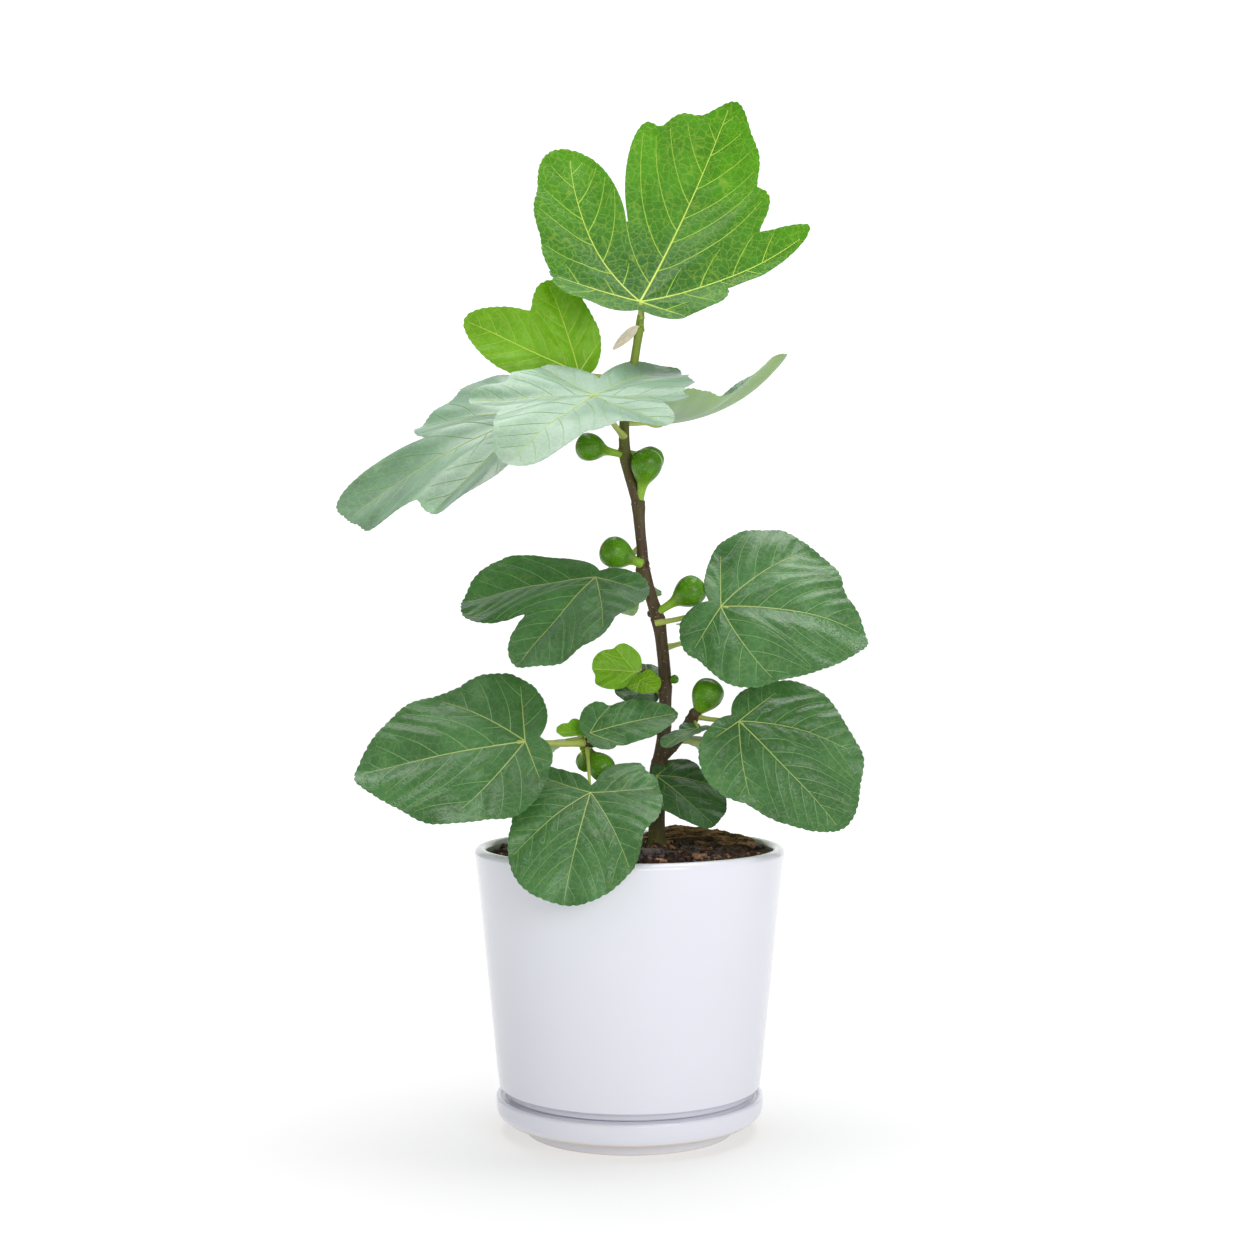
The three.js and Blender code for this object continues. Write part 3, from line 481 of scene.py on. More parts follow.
def arc(r, z, radius, start, end, steps):
    """Part of a circle as radius and height pairs, from one angle to another in degrees."""
    angles = [math.radians(start + (end - start) * i / steps) for i in range(steps + 1)]
    return [(r + radius * math.cos(a), z + radius * math.sin(a)) for a in angles]


def keep(bm, name, materials, nodes, crisp=0):
    """Makes an object of a finished mesh and lets it stand for its CAD nodes.

    crisp is the angle in degrees from which an edge is left sharp, or 0 where none is.
    """
    mesh = bpy.data.meshes.new(name)
    bm.to_mesh(mesh)
    bm.free()
    part, flat = mesh.attributes.get("part"), mesh.attributes.get("flat")
    if part:
        corners = np.empty(len(mesh.loops), np.int32)
        mesh.loops.foreach_get("vertex_index", corners)
        parts = np.empty(len(mesh.vertices), np.int32)
        part.data.foreach_get("value", parts)
        firsts = np.empty(len(mesh.polygons), np.int32)
        mesh.polygons.foreach_get("loop_start", firsts)
        mesh.polygons.foreach_set("material_index", np.minimum.reduceat(parts[corners], firsts))
        places = np.empty(3 * len(mesh.vertices), np.float32)
        flat.data.foreach_get("vector", places)
        places = places.reshape(-1, 3)[corners, :2]
        mesh.uv_layers.new(name="Blade").data.foreach_set("uv", places.ravel())
        for layer in ("part", "flat"):
            mesh.attributes.remove(mesh.attributes[layer])
    for material in materials:
        mesh.materials.append(material)
    mesh.shade_smooth()
    if crisp:
        mesh.set_sharp_from_angle(angle=math.radians(crisp))
    piece = bpy.data.objects.new(name, mesh)
    bpy.context.scene.collection.objects.link(piece)
    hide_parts(*nodes)
    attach(piece, "root")
    return piece


def piece_name(node):
    """A piece's name in the scene, such as LeafTop for leaf_top."""
    return "".join(word.capitalize() for word in node.split("_"))


# Materials


def add(tree, kind, settings):
    """Adds a node. A setting is one of its own, a socket's value, or another node's output to link."""
    node = tree.nodes.new("ShaderNode" + kind)
    for key, value in settings.items():
        if key == "stops":
            ramp = node.color_ramp
            while len(ramp.elements) < len(value):
                ramp.elements.new(1)
            for element, (place, stop) in zip(ramp.elements, value):
                element.position = place
                element.color = stop if hasattr(stop, "__len__") else (stop, stop, stop, 1)
        elif isinstance(key, str) and key in node.bl_rna.properties:
            setattr(node, key, value)
        elif isinstance(value, bpy.types.NodeSocket):
            tree.links.new(value, node.inputs[key])
        else:
            node.inputs[key].default_value = value
    return node


def new_material(name):
    """An empty material's node tree. A material that was made before is emptied and made again."""
    material = bpy.data.materials.get(name) or bpy.data.materials.new(name)
    material.use_nodes = True
    material.node_tree.nodes.clear()
    return material, material.node_tree


def glaze_material(settings):
    """White tin-like glaze, poured and fired: deep gloss over a faintly wavy, milky body."""
    material, tree = new_material("Glazed stoneware")
    place = add(tree, "TexCoord", {}).outputs["Object"]
    # Milky clouds of some 70 mm.
    cloud = add(tree, "TexNoise", {"Vector": place, "Scale": 14, "Detail": 2})
    body = add(tree, "Mix", {
        "data_type": "RGBA", 0: cloud.outputs[0], 6: tone(settings.glaze, 0.965), 7: settings.glaze[:],
    })
    # The glaze pools in waves some 20 mm long and a few hundredths of a millimetre high.
    waves = add(tree, "TexNoise", {"Vector": place, "Scale": 48, "Detail": 1})
    bump = add(tree, "Bump", {"Strength": 0.25, "Distance": 0.0002, "Height": waves.outputs[0]})
    shader = add(tree, "BsdfPrincipled", {
        "Base Color": body.outputs[2], "Roughness": 0.09, "IOR": 1.5, "Normal": bump.outputs[0],
    })
    add(tree, "OutputMaterial", {"Surface": shader.outputs[0]})
    return material


def bare_material(settings):
    """Unglazed stoneware, wiped before firing: matte and sandy."""
    material, tree = new_material("Bare stoneware")
    place = add(tree, "TexCoord", {}).outputs["Object"]
    # Grog of about 0.8 mm.
    grit = add(tree, "TexNoise", {"Vector": place, "Scale": 1200, "Detail": 3})
    body = add(tree, "Mix", {
        "data_type": "RGBA", 0: grit.outputs[0], 6: tone(settings.bare, 0.84), 7: settings.bare[:],
    })
    bump = add(tree, "Bump", {"Strength": 0.4, "Distance": 0.0002, "Height": grit.outputs[0]})
    shader = add(tree, "BsdfPrincipled", {
        "Base Color": body.outputs[2], "Roughness": 0.85, "Normal": bump.outputs[0],
    })
    add(tree, "OutputMaterial", {"Surface": shader.outputs[0]})
    return material


def peat_material(settings):
    """Moist peat and composted bark: almost black, with brown fibres."""
    material, tree = new_material("Potting soil")
    place = add(tree, "TexCoord", {}).outputs["Object"]
    # Clods of some 6 mm with a grain of about 1 mm.
    clods = add(tree, "TexNoise", {"Vector": place, "Scale": 160, "Detail": 6, "Roughness": 0.65})
    black, brown = tone(settings.peat, 0.45), tone(settings.peat, 2.6)
    body = add(tree, "ValToRGB", {
        "Fac": clods.outputs[0], "stops": [(0.34, black), (0.52, settings.peat[:]), (0.72, brown)],
    })
    grain = add(tree, "TexNoise", {"Vector": place, "Scale": 900, "Detail": 4})
    bump = add(tree, "Bump", {"Strength": 0.8, "Distance": 0.0008, "Height": grain.outputs[0]})
    shader = add(tree, "BsdfPrincipled", {
        "Base Color": body.outputs[0], "Roughness": 0.92, "Normal": bump.outputs[0],
    })
    add(tree, "OutputMaterial", {"Surface": shader.outputs[0]})
    return material


def bark_material(name, base, fresh, grain=(1, 1, 1)):
    """Broken conifer bark: corky layers with near-black patches, partly its own dark and partly painted
    crevice shade, and rusty where it broke.
    """
    material, tree = new_material(name)
    place = add(tree, "TexCoord", {}).outputs["Object"]
    drawn = add(tree, "Mapping", {"Vector": place, "Scale": grain}).outputs[0]
    # Corky layers of some 5 mm, with fibres of about 1.5 mm on them.
    layers = add(tree, "TexNoise", {"Vector": drawn, "Scale": 210, "Detail": 8, "Roughness": 0.7})
    # The near-black stop is partly the bark's own dark and partly painted shade of its crevices.
    stops = [(0.42, tone(base, 0.16)), (0.5, base[:]), (0.6, fresh[:]), (0.75, base[:])]
    body = add(tree, "ValToRGB", {"Fac": layers.outputs[0], "stops": stops})
    fibres = add(tree, "TexNoise", {"Vector": drawn, "Scale": 700, "Detail": 6})
    bump = add(tree, "Bump", {"Strength": 0.9, "Distance": 0.001, "Height": fibres.outputs[0]})
    shader = add(tree, "BsdfPrincipled", {
        "Base Color": body.outputs[0], "Roughness": 0.86, "Normal": bump.outputs[0],
    })
    add(tree, "OutputMaterial", {"Surface": shader.outputs[0]})
    return material


def stem_material(settings):
    """Thin fig bark: smooth and brown with pale pores, and green where the wood is young."""
    material, tree = new_material("Fig bark")
    place = add(tree, "TexCoord", {}).outputs["Object"]
    height = add(tree, "SeparateXYZ", {"Vector": place}).outputs["Z"]
    # Streaks of about 2 mm are drawn out along the stem, on patches of some 20 mm.
    drawn = add(tree, "Mapping", {"Vector": place, "Scale": (1, 1, 0.22)}).outputs[0]
    streaks = add(tree, "TexNoise", {"Vector": drawn, "Scale": 420, "Detail": 6, "Roughness": 0.6})
    patches = add(tree, "TexNoise", {"Vector": place, "Scale": 46, "Detail": 3})
    dark, grey = tone(settings.bark, 0.42), tone(settings.bark, 0.7, 0.035)
    brown = add(tree, "ValToRGB", {
        "Fac": streaks.outputs[0], "stops": [(0.3, dark), (0.5, settings.bark[:]), (0.72, grey)],
    })
    # Green wood starts at about 0.44 m up, and the flare at the soil is green again.
    low = add(tree, "MapRange", {"Value": height, "From Min": 0.23, "From Max": 0.2})
    high = add(tree, "MapRange", {"Value": height, "From Min": 0.42, "From Max": 0.56})
    wander = add(tree, "Math", {"operation": "MULTIPLY_ADD", 0: patches.outputs[0], 1: 0.9, 2: -0.45})
    green = add(tree, "Math", {
        "operation": "ADD", "use_clamp": True, 0: high.outputs[0], 1: wander.outputs[0],
    })
    flare = add(tree, "Math", {"operation": "MULTIPLY", 0: low.outputs[0], 1: 0.7})
    share = add(tree, "Math", {"operation": "MAXIMUM", 0: green.outputs[0], 1: flare.outputs[0]})
    # The green is olive where it starts and clear only in the top hand's breadth.
    fresh = add(tree, "MapRange", {"Value": height, "From Min": 0.46, "From Max": 0.56})
    olive = [c * k for c, k in zip(settings.green[:3], (0.5, 0.36, 0.4))] + [1]
    living = add(tree, "Mix", {"data_type": "RGBA", 0: fresh.outputs[0], 6: olive, 7: settings.green[:]})
    wood = add(tree, "Mix", {
        "data_type": "RGBA", 0: share.outputs[0], 6: brown.outputs[0], 7: living.outputs[2],
    })
    # Pores are about a millimetre wide and some 4 mm apart.
    wide = add(tree, "Mapping", {"Vector": place, "Scale": (1, 1, 1.7)}).outputs[0]
    pores = add(tree, "TexVoronoi", {"Vector": wide, "Scale": 230, "Randomness": 1})
    dots = add(tree, "ValToRGB", {"Fac": pores.outputs["Distance"], "stops": [(0.1, 1), (0.19, 0)]})
    body = add(tree, "Mix", {
        "data_type": "RGBA", 0: dots.outputs[0], 6: wood.outputs[2], 7: settings.lenticel[:],
    })
    rise = add(tree, "Math", {
        "operation": "MULTIPLY_ADD", 0: dots.outputs[0], 1: 0.6, 2: streaks.outputs[0],
    })
    bump = add(tree, "Bump", {"Strength": 0.7, "Distance": 0.0005, "Height": rise.outputs[0]})
    shader = add(tree, "BsdfPrincipled", {
        "Base Color": body.outputs[2], "Roughness": 0.62, "IOR": 1.4, "Normal": bump.outputs[0],
    })
    add(tree, "OutputMaterial", {"Surface": shader.outputs[0]})
    return material


def leaf_material(
    name, base, vein, gloss, glow, network, lit, sheen=0.45, foot=None, depth=0.72, relief=0.4,
):
    """A fig leaf's living skin: satin, quilted by a net of fine veins, and glowing where light comes
    through it. Its UV map is the blade laid flat, in metres.

    gloss is its roughness, glow the share of it that lets light through in the colour lit, network how
    clearly the net shows, foot its colour round the blade's foot, which is painted light that grades out
    to the lobes, and depth how dark its patches are.
    """
    material, tree = new_material(name)
    flat = add(tree, "UVMap", {"uv_map": "Blade"}).outputs[0]
    place = add(tree, "TexCoord", {}).outputs["Object"]
    # The net's cells are about 6 mm wide between the side veins and 2 mm inside those.
    sway = add(tree, "TexNoise", {"Vector": flat, "Scale": 150, "Detail": 2})
    bent = add(tree, "VectorMath", {
        "operation": "MULTIPLY_ADD", 0: sway.outputs["Color"], 1: (0.004, 0.004, 0), 2: flat,
    }).outputs[0]
    cells = add(tree, "TexVoronoi", {"feature": "DISTANCE_TO_EDGE", "Vector": bent, "Scale": 180})
    small = add(tree, "TexVoronoi", {"feature": "DISTANCE_TO_EDGE", "Vector": bent, "Scale": 500})
    lines = add(tree, "ValToRGB", {"Fac": cells.outputs[0], "stops": [(0, 1), (0.08, 0)]})
    hairs = add(tree, "ValToRGB", {"Fac": small.outputs[0], "stops": [(0, 0.35), (0.09, 0)]})
    net = add(tree, "Math", {"operation": "MAXIMUM", 0: lines.outputs[0], 1: hairs.outputs[0]})
    # Patches are some 40 mm wide.
    patch = add(tree, "TexNoise", {"Vector": place, "Scale": 26, "Detail": 5, "Roughness": 0.6})
    dark, pale = tone(base, depth), tone(base, 1.3, 0.012)
    green = add(tree, "ValToRGB", {
        "Fac": patch.outputs[0], "stops": [(0.32, dark), (0.5, base[:]), (0.68, pale)],
    }).outputs[0]
    if foot is not None:
        # Painted light: a young blade is darker and bluer round its foot, standing in for sheen there and
        # for light through its lobes, and a sheen-painted blade is palest there, which is painted sheen.
        reach = add(tree, "VectorMath", {"operation": "LENGTH", 0: flat}).outputs["Value"]
        share = add(tree, "MapRange", {"Value": reach, "From Min": 0.02, "From Max": 0.135})
        green = add(tree, "Mix", {
            "data_type": "RGBA", 0: share.outputs[0], 6: foot[:], 7: green,
        }).outputs[2]
    lined = add(tree, "Math", {"operation": "MULTIPLY", 0: net.outputs[0], 1: network})
    body = add(tree, "Mix", {"data_type": "RGBA", 0: lined.outputs[0], 6: green, 7: vein[:]}).outputs[2]
    rise = add(tree, "Math", {
        "operation": "MULTIPLY_ADD", 0: cells.outputs[0], 1: 1.4, 2: small.outputs[0],
    })
    bump = add(tree, "Bump", {"Strength": relief, "Distance": 0.0007, "Height": rise.outputs[0]})
    skin = add(tree, "BsdfPrincipled", {
        "Base Color": body, "Roughness": gloss, "IOR": 1.48, "Sheen Weight": sheen,
        "Sheen Roughness": 0.4, "Sheen Tint": (0.82, 0.92, 1, 1), "Normal": bump.outputs[0],
    })
    inner = add(tree, "Mix", {"data_type": "RGBA", 0: lined.outputs[0], 6: linear(lit), 7: body})
    through = add(tree, "BsdfTranslucent", {"Color": inner.outputs[2], "Normal": bump.outputs[0]})
    shader = add(tree, "MixShader", {0: glow, 1: skin.outputs[0], 2: through.outputs[0]})
    add(tree, "OutputMaterial", {"Surface": shader.outputs[0]})
    return material


def stalk_material(name, base, tint):
    """Living green tissue of veins and stalks: satin, with faint streaks."""
    material, tree = new_material(name)
    place = add(tree, "TexCoord", {}).outputs["Object"]
    # Streaks of some 8 mm.
    patch = add(tree, "TexNoise", {"Vector": place, "Scale": 120, "Detail": 4})
    body = add(tree, "Mix", {"data_type": "RGBA", 0: patch.outputs[0], 6: base[:], 7: tint[:]})
    bump = add(tree, "Bump", {"Strength": 0.3, "Distance": 0.0002, "Height": patch.outputs[0]})
    shader = add(tree, "BsdfPrincipled", {
        "Base Color": body.outputs[2], "Roughness": 0.45, "IOR": 1.42, "Normal": bump.outputs[0],
    })
    add(tree, "OutputMaterial", {"Surface": shader.outputs[0]})
    return material


def fig_material(settings):
    """Unripe fig skin: waxy and green, paler at the neck, with pale specks and faint ribs."""
    material, tree = new_material("Unripe fig skin")
    skin = add(tree, "UVMap", {"uv_map": "Blade"}).outputs[0]
    place = add(tree, "TexCoord", {}).outputs["Object"]
    along = add(tree, "SeparateXYZ", {"Vector": skin}).outputs["Y"]
    # Patches of some 11 mm.
    cloud = add(tree, "TexNoise", {"Vector": place, "Scale": 90, "Detail": 4})
    dark, pale = tone(settings.skin, 0.66), tone(settings.skin, 1.35)
    green = add(tree, "ValToRGB", {
        "Fac": cloud.outputs[0], "stops": [(0.3, dark), (0.52, settings.skin[:]), (0.75, pale)],
    })
    neck = add(tree, "MapRange", {"Value": along, "From Min": -0.5, "From Max": -1.7})
    body = add(tree, "Mix", {
        "data_type": "RGBA", 0: neck.outputs[0], 6: green.outputs[0], 7: settings.neck[:],
    })
    # Specks are a third of a millimetre wide and 1.5 mm apart.
    specks = add(tree, "TexVoronoi", {"Vector": place, "Scale": 620})
    dots = add(tree, "ValToRGB", {
        "Fac": specks.outputs["Distance"], "stops": [(0.1, 0.7), (0.22, 0)],
    })
    body = add(tree, "Mix", {
        "data_type": "RGBA", 0: dots.outputs[0], 6: body.outputs[2], 7: linear("A9C465"),
    })
    bump = add(tree, "Bump", {"Strength": 0.3, "Distance": 0.0003, "Height": dots.outputs[0]})
    shader = add(tree, "BsdfPrincipled", {
        "Base Color": body.outputs[2], "Roughness": 0.26, "IOR": 1.36, "Normal": bump.outputs[0],
    })
    add(tree, "OutputMaterial", {"Surface": shader.outputs[0]})
    return material


def scale_material():
    """A dried bud scale: papery and tan, with fine lines along it."""
    material, tree = new_material("Dried bud scale")
    flat = add(tree, "UVMap", {"uv_map": "Blade"}).outputs[0]
    # The lines are about 0.4 mm apart.
    drawn = add(tree, "Mapping", {"Vector": flat, "Scale": (1, 0.06, 1)}).outputs[0]
    lines = add(tree, "TexNoise", {"Vector": drawn, "Scale": 2600, "Detail": 3})
    body = add(tree, "ValToRGB", {
        "Fac": lines.outputs[0], "stops": [(0.35, linear("B4A68C")), (0.65, linear("E4DCC8"))],
    })
    bump = add(tree, "Bump", {"Strength": 0.5, "Distance": 0.0002, "Height": lines.outputs[0]})
    shader = add(tree, "BsdfPrincipled", {
        "Base Color": body.outputs[0], "Roughness": 0.75, "Normal": bump.outputs[0],
    })
    add(tree, "OutputMaterial", {"Surface": shader.outputs[0]})
    return material


# Leaves


# A leaf's material slots.
UPPER, UNDER, VEIN, PETIOLE, SIDE_VEIN = range(5)
# How much of the quilting a leaf shows, where it isn't the whole of it.
QUILTED = {"waxy": 0.18, "dry": 0}
# A blade's relief in shares of its length: the fold at its main veins and that fold's width, the width
# of the quilting's slopes, its slow waves, the frill near its margin, and how far all of it is sunk.
FOLD, FOLD_WIDTH, SLOPE, WAVES, FRILL, SUNK = 0.03, 0.1, 0.055, 0.021, 0.012, 0.016


def lobe_reach(direction, angle, reach, half_width, start=-0.03, point=0):
    """How far a lobe reaches from the blade's foot in each direction.

    A lobe is an ellipse whose base is blunter the further it starts behind the foot, and whose tip
    narrows by its point, from 0 for round to 1 for sharp.
    """
    place = np.cos(np.linspace(0, math.pi, 160))
    blunt = 2 + 6 * max(0, -start - 0.03)
    width = np.where(place > 0, np.sqrt(1 - place**2), (1 - np.abs(place) ** blunt) ** (1 / blunt))
    width = half_width * width * (1 - point * ((place + 1) / 2) ** 3)
    along = (reach + start) / 2 + (reach - start) / 2 * place
    turn, far = np.arctan2(width, along), np.hypot(width, along)
    last = int(np.argmax(turn)) + 1
    off = np.abs((direction - math.radians(angle) + math.pi) % TURN - math.pi)
    return np.interp(off, turn[:last], far[:last], right=0)


def run_along(route):
    """How far along a flat route each of its points lies."""
    return np.r_[0, np.cumsum(np.hypot(*np.diff(route, axis=0).T))]


def tree_of(routes, step=0.5):
    """A search tree over flat routes, cut into short steps."""
    found = []
    for route in routes:
        run = run_along(route)
        at = np.linspace(0, run[-1], max(2, int(run[-1] / step)))
        found += zip(np.interp(at, run, route[:, 0]), np.interp(at, run, route[:, 1]))
    tree = kdtree.KDTree(len(found))
    for i, (x, y) in enumerate(found):
        tree.insert((x, y, 0), i)
    tree.balance()
    return tree


def away(tree, point):
    """How far a flat point is from the tree's nearest route."""
    return tree.find((point[0], point[1], 0))[2] if tree else 1e9


def ease(x):
    """A smooth step from 0 to 1."""
    x = np.clip(x, 0, 1)
    return x * x * (3 - 2 * x)


def heading_step(heading, step):
    """A flat step in a direction, which is measured from the midrib."""
    return step * np.array([math.sin(heading), math.cos(heading)])


class Blade:
    """One leaf's blade, in millimetres, by the same rule as its solid."""

    def __init__(self, leaf, seed):
        foot, tip, faces = (np.array(value, float) for value in (leaf.foot, leaf.tip, leaf.faces))
        reach = np.linalg.norm(tip - foot)
        along = (tip - foot) / reach
        normal = unit(faces - faces @ along * along)
        half = math.radians(leaf.bend) / 2
        self.foot = foot
        self.length = reach * half / math.sin(half)
        self.across = np.cross(along, normal)
        self.along = along * math.cos(half) + normal * math.sin(half)
        self.normal = normal * math.cos(half) - along * math.sin(half)
        self.turn_across = math.radians(leaf.curl) / (self.length / 2)
        self.turn_along = math.radians(leaf.bend) / self.length
        self.lobes = leaf.lobes
        self.seed = seed
        self.main = [self.main_route(*vein) for vein in leaf.veins]
        self.side = []
        for index in range(len(self.main)):
            self.side += self.side_routes(index)
        self.main_tree, self.vein_tree = tree_of(self.main), tree_of(self.main + self.side)

    def reach(self, direction):
        """How far the margin is from the foot, over all lobes, with rounded sinuses between them."""
        total = sum(lobe_reach(direction, *lobe) ** 18 for lobe in self.lobes)
        return self.length * np.maximum(0.04, total ** (1 / 18))

    def inside(self, point):
        """How far out a flat point lies: 0 at the foot, 1 on the margin."""
        return math.hypot(*point) / float(self.reach(np.array(math.atan2(point[0], point[1]))))

    def main_route(self, angle, reach, turn):
        """A main vein, which runs from the foot nearly to the margin."""
        steps = 28
        point, route = np.zeros(2), [np.zeros(2)]
        for i in range(steps):
            heading = math.radians(angle + turn * i / steps)
            point = point + heading_step(heading, self.length * reach / steps)
            if self.inside(point) > 0.97:
                break
            route.append(point)
        return np.array(route)

    def side_routes(self, index):
        """The side veins of one main vein: they leave it in turn on both sides and curve forwards."""
        main, others = self.main[index], [m for i, m in enumerate(self.main) if i != index]
        own, other = tree_of([main]), tree_of(others) if others else None
        laid = tree_of(self.side) if self.side else None
        gap = max(0.145 * self.length, 5) if self.length > 60 else 0.2 * self.length
        run = run_along(main)
        found, place, side = [], 0.75 * gap, 1 if (index + self.seed) % 2 else -1
        while place < run[-1] - 0.3 * gap:
            k = int(np.searchsorted(run, place)) - 1
            forward = main[k + 1] - main[k]
            point = main[k] + forward * (place - run[k]) / (run[k + 1] - run[k])
            heading = math.atan2(forward[0], forward[1])
            turn = side * math.radians(58 - 16 * place / run[-1])
            route = [point]
            for _ in range(90):
                point = point + heading_step(heading + turn, 0.008 * self.length + 0.6)
                turn *= 0.975
                if self.inside(point) > 0.95 or away(laid, point) < 0.03 * self.length:
                    break
                if away(other, point) < 0.5 * away(own, point):
                    break
                route.append(point)
            if len(route) > 5:
                found.append(np.array(route))
            place += 0.5 * gap * (1 + 0.16 * math.sin(7 * place + self.seed))
            side = -side
        return found

    def relief(self, flat, quilt):
        """How far the blade rises over its smooth middle surface: valleys along the veins, bulges
        between them, and slow waves."""
        size = self.length
        to_main = np.array([away(self.main_tree, p) for p in flat])
        to_any = np.array([away(self.vein_tree, p) for p in flat])
        out = np.hypot(flat[:, 0], flat[:, 1]) / size
        fold = FOLD * size * (1 - np.exp(-((to_main / (FOLD_WIDTH * size)) ** 2)))
        bulge = quilt * min(1, size / 90) * ease((to_any - 0.3) / (SLOPE * size))
        u, v = flat[:, 0] / size, flat[:, 1] / size
        slow = WAVES * size * out * np.sin(9 * u + self.seed) * np.sin(7.5 * v + 2.1 * self.seed)
        edge = FRILL * size * out**2 * np.sin(19 * np.arctan2(u, v) + self.seed)
        return fold + bulge + slow + edge - SUNK * size

    def on(self, flat, over):
        """Points of the blade for flat places, over its middle surface."""
        u, v = flat[:, 0], flat[:, 1]
        out = np.hypot(u, v) / self.length
        wave = 0.03 * self.length * out**2 * np.sin(5 * np.arctan2(u, v))
        side = np.sin(self.turn_across * u) / self.turn_across
        over = over + wave + (1 - np.cos(self.turn_across * u)) / self.turn_across
        ahead = np.sin(self.turn_along * v) / self.turn_along + over * np.sin(self.turn_along * v)
        up = over * np.cos(self.turn_along * v) - (1 - np.cos(self.turn_along * v)) / self.turn_along
        steps = side[:, None] * self.across + ahead[:, None] * self.along + up[:, None] * self.normal
        return self.foot + steps

    def directions(self, gap):
        """Directions evenly along the margin, four for each tooth."""
        fine = np.linspace(-math.pi, math.pi, 2881)
        reach = self.reach(fine)
        run = run_along(np.stack([reach * np.sin(fine), reach * np.cos(fine)], 1))
        teeth = max(8, round(run[-1] / gap))
        return np.interp(np.linspace(0, run[-1], 4 * teeth + 1), run, fine)


def lay_veins(bm, blade, quilt, thick):
    """A blade's veins, which are thicker than the blade and stand out on both of its sides."""
    # Radii at a vein's base and end in shares of the blade's length, and how many radii it is sunk.
    for routes, slot, base, end, sunk in (
        (blade.main, VEIN, 0.0064, 0.0016, 0.6), (blade.side, SIDE_VEIN, 0.0028, 0.0011, 0.5),
    ):
        for index, route in enumerate(routes):
            # The midrib is the strongest of the main veins.
            strength = 0.8 if index and slot == VEIN else 1
            radii = np.maximum(0.15, np.linspace(base, end, len(route)) * blade.length * strength)
            over = blade.relief(route, quilt) + 0.5 * thick + 0.12 - radii * sunk
            lay(bm, rings(blade.on(route, over) * MM, radii * MM, 6), slot)


def lay_petiole(bm, leaf, blade, quilt, thick):
    """A leaf's stalk, which sags a little and runs in under the blade's foot."""
    start = np.array(leaf.start, float)
    span = blade.foot - start
    sag = np.array([0, 0, -0.035 * np.linalg.norm(span)])
    ends = np.array([[0, 0], [0, 0.07 * blade.length]])
    under = 0.5 * thick + leaf.petiole * np.array([0.7, 0.2])
    joint, into = blade.on(ends, blade.relief(ends, quilt) - under)
    route = spline([start, start + 0.3 * span + sag * 0.8, start + 0.7 * span + sag, joint, into], 44)
    share = np.linspace(0, 1, len(route))
    radii = leaf.petiole * np.interp(share, [0, 0.05, 0.15, 0.7, 0.88, 1], [1.5, 1.3, 1, 0.85, 0.9, 0.2])
    lay(bm, rings(route * MM, radii * MM, 16), PETIOLE)


def lay_blade(bm, blade, quilt, thick, tooth):
    """A blade's upper side and underside, which meet in its toothed margin."""
    size, small = blade.length, min(1, blade.length / 90)
    directions = blade.directions(5.2 if size > 60 else 3)
    rows = max(8, round(size / 3.5))
    share = np.linspace(0, 1, rows + 1)[:, None] ** 0.92
    reach = blade.reach(directions)[None]
    # Every fourth direction is a notch between two teeth, and the teeth aren't all as deep.
    index = np.arange(len(directions))
    notch = np.array([1, 0.35, 0, 0.35])[index % 4][None]
    depth = tooth * small**2 * np.minimum(1, (reach / size - 0.1) * 5).clip(0)
    depth = depth * (1 + 0.35 * np.sin(3.1 * index / 4 + blade.seed))[None]
    out = share * reach - depth * notch * share**20
    flat = np.stack([out * np.sin(directions), out * np.cos(directions)], 2)
    flat[:, -1] = flat[:, 0]
    places = flat.reshape(-1, 2)
    over = blade.relief(places, quilt).reshape(flat.shape[:2])
    half = 0.5 * thick * np.sqrt(1 - share**60)
    upper, lower = (
        blade.on(places, height.ravel()).reshape(*flat.shape[:2], 3)
        for height in (over + half, over - half)
    )
    lower[-1] = upper[-1]
    points = np.concatenate([upper, lower[-2::-1]]) * MM
    places = np.concatenate([flat, flat[-2::-1]]) * MM
    lay(bm, points, [UPPER] * rows + [UNDER] * (rows + 1), places)


def leaf_mesh(leaf, seed, settings):
    """The mesh of one leaf. A dried one has no quilting and no teeth."""
    bm = bmesh.new()
    blade = Blade(leaf, seed)
    quilt = settings.quilt / MM * QUILTED.get(leaf.age, 1)
    thick = settings.thickness / MM * min(1, blade.length / 110 + 0.3)
    lay_veins(bm, blade, quilt, thick)
    lay_petiole(bm, leaf, blade, quilt, thick)
    lay_blade(bm, blade, quilt, thick, 0 if leaf.age == "dry" else settings.tooth / MM)
    return bm


# Operators


def bare_where(bm, test):
    """Gives the second material to the faces whose middle passes the test."""
    for face in bm.faces:
        face.material_index = int(test(*face.calc_center_median()))


def soil_level(x, y):
    """Height of the soil's lumpy top, in metres."""
    r = math.hypot(x, y)
    level = float(np.interp(r, [0.04, SOIL_RADIUS], [SOIL_LEVEL, SOIL_EDGE]))
    lumps = noise.fractal(Vector((x, y, 0.3)) * 70, 0.9, 2.1, 5)
    return level + 0.0022 * lumps * min(1, max(0, (r - 0.004) / 0.02))


def somewhere(draw, radius):
    """A random place within a circle round the pot's axis."""
    r, a = radius * math.sqrt(draw.random()), draw.random() * TURN
    return r * math.sin(a), r * math.cos(a)


